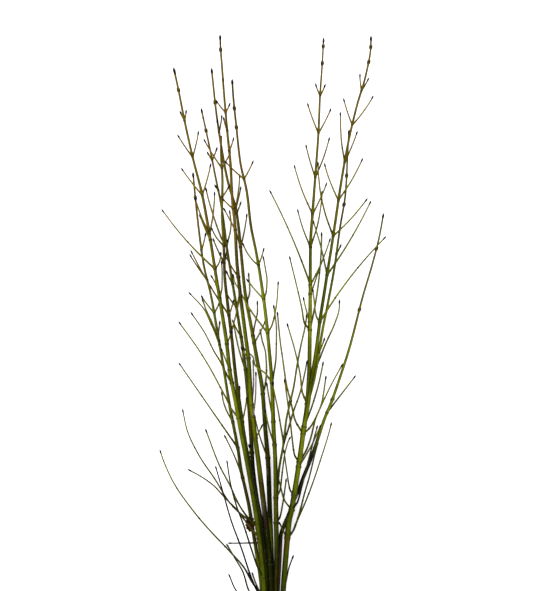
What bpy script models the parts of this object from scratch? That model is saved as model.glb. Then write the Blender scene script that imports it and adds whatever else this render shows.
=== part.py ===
"""A tied bunch of nine cut yellow-twig dogwood stems, lying on a surface.

The stems run along +Y from their cut ends to their tips and fan out sideways and upwards. Their places are
given on a drawing grid laid over the bunch as seen from above: small squares, x to the right, height along
the stems from the cut ends, z up from the surface. The part's origin is the middle of the tie's flat
underside.
"""

import math
from collections import namedtuple

import bmesh
import bpy
import numpy as np

# Driving dimensions, in metres
BUNCH_LENGTH = 1.000  # from the cut ends to the highest tip
TIE_WIDTH = 0.0128
TIE_THICKNESS = 0.0024
TIE_GAP = 0.0004  # between the tie and the stems in it
TWINE_RADIUS = 0.0012
TWIG_TIP = 0.0023  # diameters of a twig at its tip and at its root
SHORT_TWIG_ROOT = 0.0026
LONG_TWIG_ROOT = 0.0035
LONG_TWIG = 0.160  # length from which a twig has the thickest root
LEAF_THICKNESS = 0.0008

# The drawing grid
SQUARES_LONG = 625
SQUARE = BUNCH_LENGTH / SQUARES_LONG
TIE_X, TIE_HEIGHT = 0.2, 35  # where the part's origin lies on the grid
KNOT_X = -2.6

# How the wood grows, in squares unless it says otherwise
TAPER = 1.2  # exponent of a stem's taper
FULL_TO = 150  # height up to which a stem keeps its full thickness
SPREAD = math.radians(30)  # between a twig and its stem
NODE_SWELL = 0.22  # share by which a node is thicker than its stem
NODE_REACH = 2.5
TERMINAL_BUD = 6
TWIG_BUD = 5
SIDE_BUD = 5.5
BOW = 0.03  # sag of a twig below its chord, as a share of its length
LONGEST_DEPTH = 45  # furthest that a twig leans out of the drawing
CLEAR = 0.55  # room left between two stems' wood
TURNS = (1, 0.75, 1.3, 0.5, 1.6, 0.25, -0.5, -1, -1.5, 0, 2, -2, 2.6, -2.6)  # leans tried for each twig
OWN_ROOM = 10  # a twig is fused to its own stem, and may touch its sister, up to this far out
REACH = 6  # distance beyond which wood is not looked at for room
SHOOT_RINGS, TWIG_RINGS = 18, 30  # longest stretches between rings
CLOSEST_RINGS = 1.1
FAN_RINGS = (39, 50, 62)  # where the stems leave the tie and fan out

# Line is (x, height), rise is (height, z), buds are heights of bare bud pairs, and thick and thin are diameters
# in metres at the cut end and the tip. Twigs are (root height, tip x, tip height), and an unusual one has its
# bend after them: how far it bows, or the (x, height) points that it passes.
Shoot = namedtuple("Shoot", "line rise thick thin twigs buds blunt", defaults=[(), (), False])

STEMS = {
    "cane_1": [
        Shoot(
            line=[(-7.2, 2), (-6.4, 35), (-7.5, 69), (-11.3, 110), (-14.9, 140), (-18, 160), (-20.8, 175),
                  (-23.1, 188), (-26.8, 208), (-29.2, 220), (-36.5, 260), (-42, 288), (-45.3, 317), (-51.5, 357),
                  (-57, 391), (-62.5, 426), (-69.7, 465), (-79.3, 503),
                  (-87.3, 539), (-93.2, 569), (-98.3, 592.5)],
            rise=[(2, 13.5), (35, 13.5), (50, 16), (69, 18.5), (110, 21.5), (160, 26), (260, 40), (420, 60),
                  (592.5, 78)],
            thick=0.0083,
            thin=0.0034,
            twigs=[(539, -92.3, 549.5), (539, -85.5, 550.5), (503, -94.5, 525.5), (503, -73.3, 529.5),
                   (465, -91, 492.5), (465, -61, 497), (426, -77, 463), (426, -57.4, 469), (420, -72.7, 446.5),
                   (391, -110.7, 451.3), (391, -51, 409, [(-53.2, 396.5), (-51.6, 402)]),
                   (362, -61.7, 385.5, [(-54.5, 370), (-57, 377.5)]),
                   (362, -50.4, 400, [(-50, 372), (-49.8, 385)]),
                   (316, -40.5, 330), (290, -51.5, 313, 0),
                   (277, -81.5, 348.5, [(-44, 283), (-47.8, 290.5), (-52.5, 300), (-57.5, 308), (-67, 327)]),
                   (242, -94, 339, [(-41, 251.5), (-45.5, 261), (-50.3, 270), (-61, 290), (-73.3, 310)]),
                   (136, -89.5, 252, [(-26, 142), (-42, 157), (-57, 181), (-73, 205), (-85, 231)]),
                   (132, -67, 231.5, [(-24, 142), (-33, 155), (-42, 174), (-53, 195)]),
                   (122, -85, 191, [(-17, 127), (-26, 138), (-36, 151), (-47, 162), (-58, 174), (-72, 184)]),
                   (117.5, -45, 117),
                   (82, -45.2, 201, [(-14, 92), (-21, 112), (-28, 134), (-36, 156), (-41.7, 178)])],
            buds=[569],
        ),
    ],
    "cane_2": [
        Shoot(
            line=[(-9.6, 3), (-8.6, 35), (-10.5, 70), (-16.2, 112), (-19.2, 130), (-23.3, 155), (-27, 172),
                  (-30.7, 188), (-34, 210), (-42.5, 255), (-49, 295), (-55, 330), (-61, 364), (-68.5, 396),
                  (-72, 420), (-76.7, 462), (-79.2, 488.5)],
            rise=[(3, 8.6), (35, 8.6), (70, 9), (110, 10), (200, 13), (320, 16), (488.5, 20)],
            thick=0.0058,
            thin=0.0032,
            twigs=[(410, -66.2, 428), (380, -82.7, 406.5), (347, -71.5, 365.5), (347, -52, 359), (326, -52.2, 340),
                   (319, -70.5, 362.5, [(-57, 329.5), (-60.6, 338.5), (-66, 350)]),
                   (315, -84, 368.5, [(-57.4, 328), (-61.4, 337), (-67.5, 350)]),
                   (238, -50.7, 269, [(-46, 250), (-49, 259)]), (212, -93.7, 298, 0), (182, -48.3, 225.5, -1),
                   (66, -112.6, 211, [(-19, 76), (-28, 92), (-43, 109), (-62, 129), (-79, 149), (-99, 178),
                                      (-109, 200)]),
                   (62, -20.2, 88), (58, -56.7, 195, [(-20, 80), (-30, 110), (-41, 140), (-49, 168)]),
                   (51, -46, 116.5, [(-23.3, 69), (-29, 87), (-37, 101)]), (46, -43.7, 86.5, [(-36.5, 70)])],
            buds=[462],
        ),
    ],
    "cane_3": [
        Shoot(
            line=[(-2.8, 1), (-2.4, 35), (-3, 69), (-6.5, 115), (-15.3, 162), (-18.9, 190), (-20.5, 215), (-23.5, 257),
                  (-28.2, 304), (-34, 343), (-39.5, 377), (-45.5, 415), (-50, 450), (-56.5, 483), (-62.5, 513),
                  (-71, 552.5)],
            rise=[(1, 4), (35, 4), (50, 6), (69, 7.8), (110, 9), (200, 13), (300, 18), (430, 25), (552.5, 34)],
            thick=0.0072,
            thin=0.0028,
            twigs=[(500, -65.3, 509), (500, -54.6, 513.7), (470, -57.8, 476),
                   (415, -66.6, 473.2, [(-50.3, 421), (-52.7, 427), (-56.5, 437.5), (-63.5, 460)]),
                   (415, -42.6, 450.5, [(-43.3, 422), (-41.6, 429), (-41, 437)]),
                   (376, -46, 390), (353, -45.7, 366.5), (353, -32.5, 369), (323, -40, 341), (290, -38.5, 338),
                   (207, -23.5, 216.5)],
            buds=[529],
        ),
    ],
    "cane_4": [
        Shoot(
            line=[(3, 2), (2.8, 35), (2.3, 50), (0, 69), (-0.7, 110), (-2.4, 155), (-3.8, 195), (-7, 235), (-9.7, 270),
                  (-15.2, 302), (-21, 334), (-27, 368), (-30.7, 405), (-34, 438), (-36.5, 452), (-44.5, 480),
                  (-50.5, 512), (-55.7, 547), (-60.6, 592.5)],
            rise=[(2, 4.25), (39, 4.25), (50, 3.8), (69, 3.6), (110, 5), (200, 8.5), (300, 13), (430, 19),
                  (592.5, 26)],
            thick=0.0080,
            thin=0.0032,
            twigs=[(528, -50.2, 546), (528, -54.8, 541), (452, -32.4, 486.5), (452, -31, 474.5), (447, -30.7, 459.5),
                   (413, -25.1, 447), (413, -37, 435),
                   (359, -23.4, 388, [(-23.3, 363.5), (-22.2, 369), (-22.5, 376), (-23.2, 382)]),
                   (324, -14.7, 360, [(-17.5, 334), (-14.5, 350)]), (317, -6, 341),
                   (266, -12.2, 331.5, [(-7, 274), (-5.5, 289), (-6.3, 306), (-10, 320)]), (202, -17.7, 246)],
            buds=[557],
        ),
    ],
    "cane_5": [
        Shoot(
            line=[(-1, 0), (-0.7, 35), (-0.5, 69), (-3.2, 112), (-8.2, 155), (-12.7, 192), (-17.2, 226), (-21.2, 262),
                  (-23.2, 298), (-27.2, 330), (-31.7, 366), (-35.3, 402), (-37, 435), (-39.8, 463), (-41.3, 494),
                  (-44.7, 529), (-47.7, 564), (-50, 595), (-51.3, 611), (-51.8, 625)],
            rise=[(0, 13.5), (35, 13.5), (50, 16), (69, 17.5), (110, 21), (200, 32), (300, 46), (450, 68), (625, 92)],
            thick=0.0086,
            thin=0.0032,
            twigs=[(547, -56.7, 560.5), (547, -41.4, 557.5), (529, -48.5, 543), (509, -37.9, 523), (451, -50.5, 462.5),
                   (430, -48.8, 452.5, 0), (383, -47.7, 406.5), (302, -31.5, 313.5), (255, -19.1, 301),
                   (243, -16.2, 289), (222, -9.2, 236.5)],
            buds=[609],
        ),
    ],
    "cane_6": [
        Shoot(
            line=[(-4.3, 4), (-3.7, 35), (-5.5, 69), (-7.5, 108), (-14, 150), (-21, 185), (-27.2, 220), (-32.2, 254),
                  (-36.7, 287), (-40, 320), (-44, 353), (-47.3, 385), (-48.3, 417), (-50, 448), (-49.5, 478),
                  (-51, 510), (-50.8, 524)],
            rise=[(4, 8.9), (35, 8.9), (50, 11), (69, 12.9), (110, 15.5), (200, 22), (300, 31), (420, 46), (524, 58)],
            thick=0.0074,
            thin=0.0036,
            twigs=[(492, -68.6, 521.7), (492, -41, 509), (463, -42, 475.5),
                   (414, -61.5, 434, [(-52.5, 418.5), (-56, 423), (-58.5, 427.5)]), (397, -59.2, 422.5),
                   (397, -44, 422), (345, -81.7, 410.5, 1.5), (345, -38.2, 361), (328, -32, 366.5),
                   (238, -32.3, 275), (238, -25.2, 264), (203, -20.5, 216)],
            blunt=True,
        ),
    ],
    "cane_7": [
        Shoot(
            line=[(5.4, 3), (4.8, 35), (3.5, 69), (4.5, 105), (4, 152), (3.3, 198), (1.3, 238), (0, 276), (-2.8, 310),
                  (-6.3, 345), (-11, 379), (-15.5, 406), (-21.2, 435), (-25, 467), (-31.7, 498), (-35.4, 531),
                  (-38.8, 565), (-39.8, 581)],
            rise=[(3, 13.5), (35, 13.5), (50, 13), (69, 12), (110, 15), (152, 19.5), (200, 26), (300, 37), (450, 54),
                  (581, 70)],
            thick=0.0077,
            thin=0.0033,
            twigs=[(481, -47.7, 499.3), (481, -18.3, 500),
                   (395, -30, 418, [(-17.5, 397.8), (-21, 401.8), (-25, 407.5)]), (395, -7.8, 413), (361, -26, 382),
                   (361, -9, 404.5, [(-5.8, 368), (-5, 380), (-6.4, 390)]),
                   (327, -39.2, 387, [(-20, 347.5), (-28, 361), (-33, 370.5), (-37.5, 378.5)]),
                   (327, 6.3, 379.5, [(0, 335), (3, 347), (5, 360)]),
                   (277, -30.5, 314, [(-7, 287), (-12, 290.5), (-17, 295), (-19, 303), (-24, 307.5)]),
                   (277, 1.3, 356, 4),
                   (238, -5.5, 278, [(-3, 262)]), (215, -7, 252),
                   (162, 19, 224, [(8, 170), (10.5, 190), (12.5, 205), (16, 218.5)]),
                   (137, 14.4, 182, [(8, 143), (11, 158), (13.5, 175)])],
            buds=[551, 532],
        ),
        Shoot(
            line=[(4, 152), (7, 190), (11.8, 218), (14.3, 240), (18, 257), (21.5, 272), (25, 294), (29, 315),
                  (33, 333), (35.3, 348)],
            rise=[(152, 19.5), (192, 20), (272, 20), (348, 22)],
            thick=0.0043,
            thin=0.0028,
            twigs=[(217, 35.3, 300, [(16, 230), (21, 247), (28, 267), (33, 288)]),
                   (217, 0, 279, [(9.5, 229), (6, 250), (3.5, 262)])],
            buds=[258],
        ),
    ],
    "cane_8": [
        Shoot(
            line=[(10.8, 2), (9.6, 35), (11.2, 69), (13.8, 102), (17.2, 140), (19.6, 150), (22.9, 170), (27.5, 200),
                  (31.6, 230), (34.5, 250), (36.2, 270), (37.5, 300), (37.8, 330), (38.2, 360), (38.4, 413),
                  (40.5, 446), (43.2, 483), (46.4, 527), (48, 564), (50.2, 596), (51.6, 622.5)],
            rise=[(2, 8.8), (35, 8.8), (50, 10.2), (69, 11), (110, 14), (158, 17.5), (236, 24), (330, 33), (450, 45),
                  (622.5, 60)],
            thick=0.0090,
            thin=0.0028,
            twigs=[(564, 43.2, 577), (564, 53.6, 576.5), (527, 35.3, 557.5), (527, 59.2, 552), (483, 33.7, 516),
                   (483, 57.7, 523.5), (446, 21.9, 496), (446, 55, 478), (413, 25.3, 451.5), (413, 50.3, 470, 2.5),
                   (375, -2.8, 470.5, -2), (375, 58.5, 422.5), (366, 47.5, 394), (338, 31.2, 364),
                   (330, 17.2, 404.5, [(32, 338), (30, 350)]), (330, 49.6, 428.5, 3),
                   (256, 14.7, 337.5, [(30, 269), (28.3, 284), (23.5, 307), (17, 330)]), (233, 51.5, 299),
                   (226, 5.3, 349, [(23, 240), (19, 257), (14.5, 275), (10.5, 302), (8, 320)]),
                   (226, 71, 297, [(38, 232.5), (43, 241), (49, 254), (60, 277)]),
                   (198, 12.3, 282, [(22.5, 205), (20.3, 220), (18.3, 238), (15, 262)]),
                   (198, 54.3, 285, [(34, 209), (38.5, 221), (43.3, 240), (50, 258)]), (193, 49, 236),
                   (165, 11.7, 211, [(18, 170), (15, 187.5)]), (150, 3, 202.5, [(12, 160.5), (9, 171.5), (6, 184)]),
                   (150, 45.6, 235.5, [(25.5, 158), (29.5, 172.5), (33, 186), (42, 222)]),
                   (125, 46.4, 219, [(20.6, 128), (25.4, 140), (28.5, 150.5), (32.5, 166), (38, 185), (42.5, 204)]),
                   (122, 7, 138.5),
                   (122, 59.6, 238.5, [(20, 127), (25, 139), (33, 157), (41, 178), (49, 202), (57, 228)]),
                   (62, 21.8, 105, [(14.5, 80), (16.5, 90)])],
            buds=[613, 596],
        ),
        Shoot(
            line=[(32.6, 236), (36.8, 260), (39.3, 280), (42.6, 300), (45.5, 320), (48, 340), (50.3, 355),
                  (54.5, 382), (59.3, 412), (63.5, 440), (69, 477), (75.5, 514), (84.5, 553), (93.5, 584),
                  (98.5, 612), (98.8, 624)],
            rise=[(236, 24), (260, 29), (300, 36), (400, 52), (500, 67), (624, 84)],
            thick=0.0064,
            thin=0.0032,
            twigs=[(569, 87.7, 586.5), (569, 97, 582.5), (535, 71.2, 562), (535, 101.3, 564.5, 2),
                   (498, 68.2, 548, 1.5), (498, 85.5, 529.5), (460, 52.3, 497.5, 2), (460, 90.8, 502),
                   (424, 45.9, 498.3, 4), (424, 95.7, 462), (385, 40.5, 441, -1), (385, 99, 459.5, 2),
                   (338, 40.5, 372, [(44.5, 343), (43, 350), (42, 360)]), (338, 114.5, 424, -3.4)],
            buds=[612, 597],
        ),
        Shoot(
            line=[(37, 262), (42.5, 283), (46.5, 306), (51, 332), (56, 357), (62.7, 394), (67.7, 430), (73.8, 470),
                  (75.8, 510), (77, 531)],
            rise=[(262, 29.5), (283, 29.5), (332, 31), (430, 34), (531, 38)],
            thick=0.0051,
            thin=0.0028,
            twigs=[(406, 69.4, 416.5), (307, 52.9, 323), (293, 67.6, 361, [(54, 317), (63, 337), (67.3, 352)])],
            buds=[484, 455],
        ),
    ],
    "cane_9": [
        Shoot(
            line=[(4.8, 5), (4.5, 35), (6, 69), (7.8, 104), (8.8, 124), (12.6, 135.5), (16.4, 144.5), (22.2, 160),
                  (26.8, 170), (30.4, 180), (34.5, 190), (38.6, 200), (45.5, 220), (52.2, 240), (60.3, 260),
                  (65.5, 275), (77.8, 313), (91, 364), (100.5, 396), (107.3, 423), (111.8, 447.5)],
            rise=[(5, 8.75), (35, 8.75), (50, 8), (69, 7), (110, 7.5), (158, 9.3), (250, 12), (350, 16), (447.5, 22)],
            thick=0.0064,
            thin=0.0028,
            twigs=[(247, 84.3, 285, 0)],
            buds=[411, 350, 260],
        ),
    ],
}

BARK = {  # each stem's colour about its middle
    "cane_1": (0.23, 0.22, 0.035),
    "cane_2": (0.16, 0.19, 0.030),
    "cane_3": (0.17, 0.16, 0.030),
    "cane_4": (0.15, 0.11, 0.030),
    "cane_5": (0.20, 0.17, 0.035),
    "cane_6": (0.18, 0.14, 0.032),
    "cane_7": (0.21, 0.21, 0.035),
    "cane_8": (0.26, 0.28, 0.040),
    "cane_9": (0.13, 0.11, 0.030),
}
TWINE = (0.50, 0.36, 0.20)
DRY_LEAF = (0.10, 0.045, 0.020)

# A scrap of dry leaf, caught between cane_1 and cane_2
LEAF_X, LEAF_HEIGHT, LEAF_Z = -22, 128, 14
LEAF_LONG, LEAF_WIDE = 15, 9
LEAF_CURL = 2.2


def clear_scene():
    """Remove everything that the scene starts with."""
    for thing in list(bpy.data.objects):
        bpy.data.objects.remove(thing)


def smooth(knots, at):
    """Values at the given heights on a smooth line through (height, value) knots, with no overshoot."""
    heights, values = (np.array(column, float) for column in zip(*knots))
    chords = np.diff(values) / np.diff(heights)
    product, total = chords[:-1] * chords[1:], chords[:-1] + chords[1:]
    same_way = product > 0
    inner = np.where(same_way, 2 * product / np.where(same_way, total, 1), 0)
    slopes = np.concatenate([chords[:1], inner, chords[-1:]])
    low = np.clip(np.searchsorted(heights, at, side="right") - 1, 0, len(heights) - 2)
    step = heights[low + 1] - heights[low]
    t = np.clip((at - heights[low]) / step, 0, 1)
    rise = values[low + 1] - values[low]
    start, end = slopes[low] * step, slopes[low + 1] * step
    return values[low] + t * (start + t * (3 * rise - 2 * start - end + t * (start + end - 2 * rise)))


def ends(shoot):
    """Heights of a shoot's foot and top."""
    return shoot.line[0][1], shoot.line[-1][1]


def axis(shoot, at):
    """Points of a shoot's centre line at the given heights."""
    at = np.asarray(at, float)
    sideways = smooth([(height, x) for x, height in shoot.line], at)
    return np.stack([sideways, at, smooth(shoot.rise, at)], axis=-1)


def girth(shoot, at):
    """Radius of a shoot between its nodes, in squares."""
    foot, top = ends(shoot)
    left = np.clip((top - np.asarray(at, float)) / (top - max(foot, FULL_TO)), 0, 1)
    return (shoot.thin + (shoot.thick - shoot.thin) * left**TAPER) / 2 / SQUARE


def nodes(shoot):
    """Heights where a shoot carries twigs or buds."""
    return sorted({twig[0] for twig in shoot.twigs} | set(shoot.buds))


def ring_heights(shoot):
    """Heights of a shoot's rings: two at each node, three in its top bud, and others between them."""
    foot, top = ends(shoot)
    marks = [foot, top] + [node + step for node in nodes(shoot) for step in (-NODE_REACH, 0)]
    marks += [] if shoot.blunt else [top - TERMINAL_BUD * share for share in (1, 0.6)]
    marks += [height for height in FAN_RINGS if height > foot]
    heights = [foot]
    for mark in sorted(marks)[1:]:
        gap = mark - heights[-1]
        if gap < CLOSEST_RINGS and mark != top:
            continue
        pieces = math.ceil(gap / SHOOT_RINGS)
        heights += [mark - gap * (pieces - n) / pieces for n in range(1, pieces + 1)]
    return np.array(heights)


def shoot_rings(shoot):
    """A shoot's rings as rows of x, height, z and radius, with its nodes swollen and its top bud shaped."""
    heights = ring_heights(shoot)
    swell = np.zeros(len(heights))
    for node in nodes(shoot):
        swell = np.maximum(swell, np.exp(-(((heights - node) / (NODE_REACH * 0.6)) ** 2)))
    open_wood = np.clip((heights - 60) / 40, 0.25, 1)  # the lowest nodes are packed close and swell less
    radii = girth(shoot, heights) * (1 + NODE_SWELL * open_wood * swell)
    if not shoot.blunt:
        below_top = (ends(shoot)[1] - heights) / TERMINAL_BUD
        radii *= np.interp(below_top, (0, 0.6, 1), (0, 1.35, 1))
    return np.column_stack([axis(shoot, heights), radii])


def bud_rings(shoot, height):
    """The rings of a pair of small buds that lie close along the stem, one to each side."""
    root = axis(shoot, [height - SIDE_BUD / 2])[0]
    reach = girth(shoot, height) + 0.9
    pair = []
    for side in (-1, 1):
        tip = axis(shoot, [height + SIDE_BUD / 2])[0] + (side * reach * 0.95, 0, 0)
        middle = (root + tip) / 2 + (side * reach * 0.3, 0, 0)
        pair.append(np.column_stack([np.array([root, middle, tip]), (0.6, 0.75, 0)]))
    return pair


def twig_radii(length, shares):
    """Radius of a twig at shares of its length, from its flared root to its bud."""
    root = SHORT_TWIG_ROOT + (LONG_TWIG_ROOT - SHORT_TWIG_ROOT) * min(1, length * SQUARE / LONG_TWIG)
    plain = (root + (TWIG_TIP - root) * shares**0.8) / 2 / SQUARE
    flare = 1 + 0.35 * np.exp(-shares * length / 3)
    left = (1 - shares) * length / TWIG_BUD
    return plain * flare * np.interp(left, (0, 0.7, 1), (0, 1.5, 1))


def bowed(root, tip, bow, shares):
    """Points at shares of a twig that leaves its stem wide and then turns up towards its tip."""
    chord = tip - root
    flat = np.hypot(chord[0], chord[1])
    sag = BOW * flat if bow is None else bow
    outward = np.array([chord[1], -chord[0], 0]) * math.copysign(1, chord[0]) / flat
    control = root + chord * (0.5, 0.5, 0.6) + 2 * sag * outward
    t = shares[:, None]
    return root * (1 - t) ** 2 + control * 2 * t * (1 - t) + tip * t**2


def crooked(root, tip, stops, shares):
    """Points at shares of a twig that passes the stops, and the shares where it does."""
    way = np.array([root[:2], *stops, tip[:2]])
    along = np.concatenate([[0], np.cumsum(np.linalg.norm(np.diff(way, axis=0), axis=1))])
    along /= along[-1]
    flat = [smooth(list(zip(along, column)), shares) for column in way.T]
    return np.column_stack([*flat, root[2] + (tip[2] - root[2]) * shares * (1.2 - 0.2 * shares)]), along[1:-1]


def twig_rings(root, tip, bend):
    """A twig's rings. It lies on the surface where it would sink into it."""
    length = np.linalg.norm(tip - root)
    low, high = min(4 / length, 0.3), 1 - 0.7 * TWIG_BUD / length
    pieces = max(1, round(length / TWIG_RINGS))
    shares = np.array([0, *np.linspace(low, high, pieces + 1), 1])
    if isinstance(bend, list):
        stops = crooked(root, tip, bend, shares)[1]
        shares = np.array([0, low, *stops[(stops > low + 0.02) & (stops < high - 0.02)], high, 1])
        points = crooked(root, tip, bend, shares)[0]
    else:
        points = bowed(root, tip, bend, shares)
    radii = twig_radii(length, shares)
    points[:, 2] = np.maximum(points[:, 2], radii)
    return np.column_stack([points, radii])


def lean(shoot, root, tip):
    """How far a twig's tip leans out of the drawing, so that it leaves its stem at the spread."""
    along = axis(shoot, [root[1] - 5, root[1] + 5])
    stem = (along[1] - along[0]) / np.linalg.norm(along[1] - along[0])
    chord = np.array([tip[0] - root[0], tip[1] - root[1]])
    forward = abs(chord @ stem[:2])
    across = abs(chord[0] * stem[1] - chord[1] * stem[0])
    depth = math.sqrt(max(0.0, (forward * math.tan(SPREAD)) ** 2 - across**2))
    return stem[2] / stem[1] * chord[1], min(depth, LONGEST_DEPTH)


def gap_to(line, others):
    """Least gap between a line of (x, height, z, radius) rows and a cloud of such rows."""
    if not len(line):
        return REACH
    low, high = line[:, :3].min(axis=0) - REACH, line[:, :3].max(axis=0) + REACH
    near = others[np.all((others[:, :3] > low) & (others[:, :3] < high), axis=1)]
    if not len(near):
        return REACH
    apart = np.linalg.norm(line[:, None, :3] - near[None, :, :3], axis=2)
    return float((apart - line[:, None, 3] - near[None, :, 3]).min())


def filled(rings):
    """The rows of a line of rings, with others put in about a square apart."""
    along = np.concatenate([[0], np.cumsum(np.linalg.norm(np.diff(rings[:, :3], axis=0), axis=1))])
    at = np.linspace(0, along[-1], max(4, int(along[-1])))
    return np.column_stack([np.interp(at, along, column) for column in rings.T])


def settle_twigs(leaf):
    """Choose each twig's lean: the natural one, or the first of a few others that clears all other stems.

    The result is {stem: [a twig's rings, ...]}.
    """
    cloud = [(None, leaf)]
    for name, shoots in STEMS.items():
        for shoot in shoots:
            cloud.append((name, filled(shoot_rings(shoot))))
            cloud += [(name, filled(bud)) for height in shoot.buds for bud in bud_rings(shoot, height)]
    chosen = {name: [] for name in STEMS}
    for name, shoots in STEMS.items():
        own = np.empty((0, 4))
        others = np.vstack([rows for owner, rows in cloud if owner != name])
        for shoot in shoots:
            levels = sorted({twig[0] for twig in shoot.twigs})
            for height, tip_x, tip_height, *bend in shoot.twigs:
                root = axis(shoot, [height])[0]
                ahead, depth = lean(shoot, root, (tip_x, tip_height))
                side = 1 if (tip_x < root[0]) == (levels.index(height) % 2 == 0) else -1
                tries = []
                for turn in TURNS:
                    tip = np.array([tip_x, tip_height, root[2] + ahead + side * depth * turn])
                    rings = twig_rings(root, tip, bend[0] if bend else None)
                    rows = filled(rings)
                    far = rows[np.linalg.norm(rows[:, :3] - root, axis=1) > OWN_ROOM]
                    tries.append((min(gap_to(rows, others), gap_to(far, own)), rings, rows))
                    if tries[-1][0] > CLEAR:
                        break
                gap, rings, rows = max(tries, key=lambda each: each[0])
                cloud.append((name, rows))
                own = np.vstack([own, rows])
                chosen[name].append(rings)
    return chosen


def in_metres(point):
    """A point of the grid in the part's own frame."""
    return ((point[0] - TIE_X) * SQUARE, (point[1] - TIE_HEIGHT) * SQUARE, point[2] * SQUARE)


def new_object(name, builder):
    """An object in the scene with the faces that the bmesh holds."""
    bmesh.ops.recalc_face_normals(builder, faces=builder.faces)
    mesh = bpy.data.meshes.new(name)
    builder.to_mesh(mesh)
    builder.free()
    thing = bpy.data.objects.new(name, mesh)
    bpy.context.scene.collection.objects.link(thing)
    return thing


def tube(name, rings, sides):
    """A closed tube through rows of x, height, z and radius. Where the last radius is nothing, it ends in a point."""
    builder = bmesh.new()
    loops = []
    rings = np.asarray(rings, float)
    for *point, radius, way in zip(*rings.T, np.gradient(rings[:, :3], axis=0)):
        way = way / np.linalg.norm(way)
        right = np.cross(way, (0, 0, 1))
        right /= np.linalg.norm(right)
        up = np.cross(right, way)
        if radius < 1e-4:
            loops.append([builder.verts.new(in_metres(point))])
            continue
        turns = [2 * math.pi * (n + 0.5) / sides - math.pi / 2 for n in range(sides)]
        ring = [point + radius * (math.cos(a) * right + math.sin(a) * up) for a in turns]
        loops.append([builder.verts.new(in_metres(corner)) for corner in ring])
    for lower, upper in zip(loops, loops[1:]):
        for n in range(sides):
            after = (n + 1) % sides
            corners = [lower[n], lower[after]]
            corners += [upper[0]] if len(upper) == 1 else [upper[after], upper[n]]
            builder.faces.new(corners)
    builder.faces.new(loops[0])
    if len(loops[-1]) > 1:
        builder.faces.new(loops[-1])
    return new_object(name, builder)


def fuse(whole, pieces):
    """Join the pieces to the whole with one Boolean union, and remove them."""
    group = bpy.data.collections.new(whole.name + "_pieces")
    bpy.context.scene.collection.children.link(group)
    for piece in pieces:
        bpy.context.scene.collection.objects.unlink(piece)
        group.objects.link(piece)
    union = whole.modifiers.new("Join", "BOOLEAN")
    union.operation = "UNION"
    union.operand_type = "COLLECTION"
    union.collection = group
    union.solver = "EXACT"
    bpy.context.view_layer.objects.active = whole
    bpy.ops.object.modifier_apply(modifier=union.name)
    for piece in pieces:
        bpy.data.objects.remove(piece)
    bpy.data.collections.remove(group)


def finish(thing, colour, roughness):
    """Give an object its own material and smooth its round sides."""
    material = bpy.data.materials.new(thing.name)
    material.use_nodes = True
    shader = material.node_tree.nodes["Principled BSDF"]
    shader.inputs["Base Color"].default_value = (*colour, 1)
    shader.inputs["Roughness"].default_value = roughness
    shader.inputs["Metallic"].default_value = 0
    thing.data.materials.clear()
    thing.data.materials.append(material)
    thing.data.shade_smooth()
    thing.data.set_sharp_from_angle(angle=math.radians(40))


def stem(name, shoots, twigs):
    """A cut stem with its forks, twigs and buds as one solid."""
    wood = []
    for shoot in shoots:
        wood.append(tube(name, shoot_rings(shoot), 6))
        wood += [tube(name, bud, 4) for height in shoot.buds for bud in bud_rings(shoot, height)]
    for rings in twigs:
        reach = np.linalg.norm(rings[-1, :3] - rings[0, :3])
        wood.append(tube(name, rings, 5 if reach > LONG_TWIG / SQUARE * 0.7 else 4))
    wood[0].name = name
    fuse(wood[0], wood[1:])
    finish(wood[0], BARK[name], 0.45)
    return wood[0]


def tie_outline(room):
    """Outline round the stems in the tie, that far from their bark, as (x, z) points."""
    half = TIE_WIDTH / 2 / SQUARE
    stems = []
    for shoots in STEMS.values():
        for height in (TIE_HEIGHT - half, TIE_HEIGHT, TIE_HEIGHT + half):
            x, _, z = axis(shoots[0], [height])[0]
            stems.append((x, z, girth(shoots[0], height)))
    outline = []
    for step in range(24):
        turn = 2 * math.pi * step / 24 - math.pi / 2
        for nudge in (-0.01, 0.01):  # both ends of a straight stretch that faces this way
            way = (math.cos(turn + nudge), math.sin(turn + nudge))
            x, z, radius = max(stems, key=lambda s: s[0] * way[0] + s[1] * way[1] + s[2])
            spot = (x + (radius + room) * math.cos(turn), z + (radius + room) * math.sin(turn))
            if not outline or math.dist(spot, outline[-1]) > 1e-6:
                outline.append(spot)
    return outline


def tie():
    """The twine round the bunch, as one band, with its knot and two short ends on top."""
    inner = tie_outline(TIE_GAP / SQUARE)
    outer = tie_outline((TIE_GAP + TIE_THICKNESS) / SQUARE)
    half = TIE_WIDTH / 2 / SQUARE
    builder = bmesh.new()
    corners = {}
    for key, outline, height in (
        ("inner low", inner, TIE_HEIGHT - half),
        ("outer low", outer, TIE_HEIGHT - half),
        ("outer high", outer, TIE_HEIGHT + half),
        ("inner high", inner, TIE_HEIGHT + half),
    ):
        corners[key] = [builder.verts.new(in_metres((x, height, z))) for x, z in outline]
    rings = list(corners.values())
    for here, there in zip(rings, rings[1:] + rings[:1]):
        for n in range(len(inner)):
            after = (n + 1) % len(inner)
            builder.faces.new((here[n], here[after], there[after], there[n]))
    band = new_object("tie", builder)
    top = max(z for _, z in outer)
    knot = tube("knot", [(KNOT_X + step, TIE_HEIGHT, top + lift, radius) for step, lift, radius in
                         ((-3, -0.6, 0.9), (-1, 0.4, 1.8), (1, 0.4, 1.8), (3, -0.6, 0.9))], 8)
    tails = [
        tube("tail", [(KNOT_X + side * step, TIE_HEIGHT + ahead, top + lift, TWINE_RADIUS / SQUARE)
                      for step, ahead, lift in ((0, 0, 0.5), (5, 4, 2), (9, 9, 1.6))], 6)
        for side in (-1, 1)
    ]
    fuse(band, [knot] + tails)
    finish(band, TWINE, 0.9)
    return band


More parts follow.
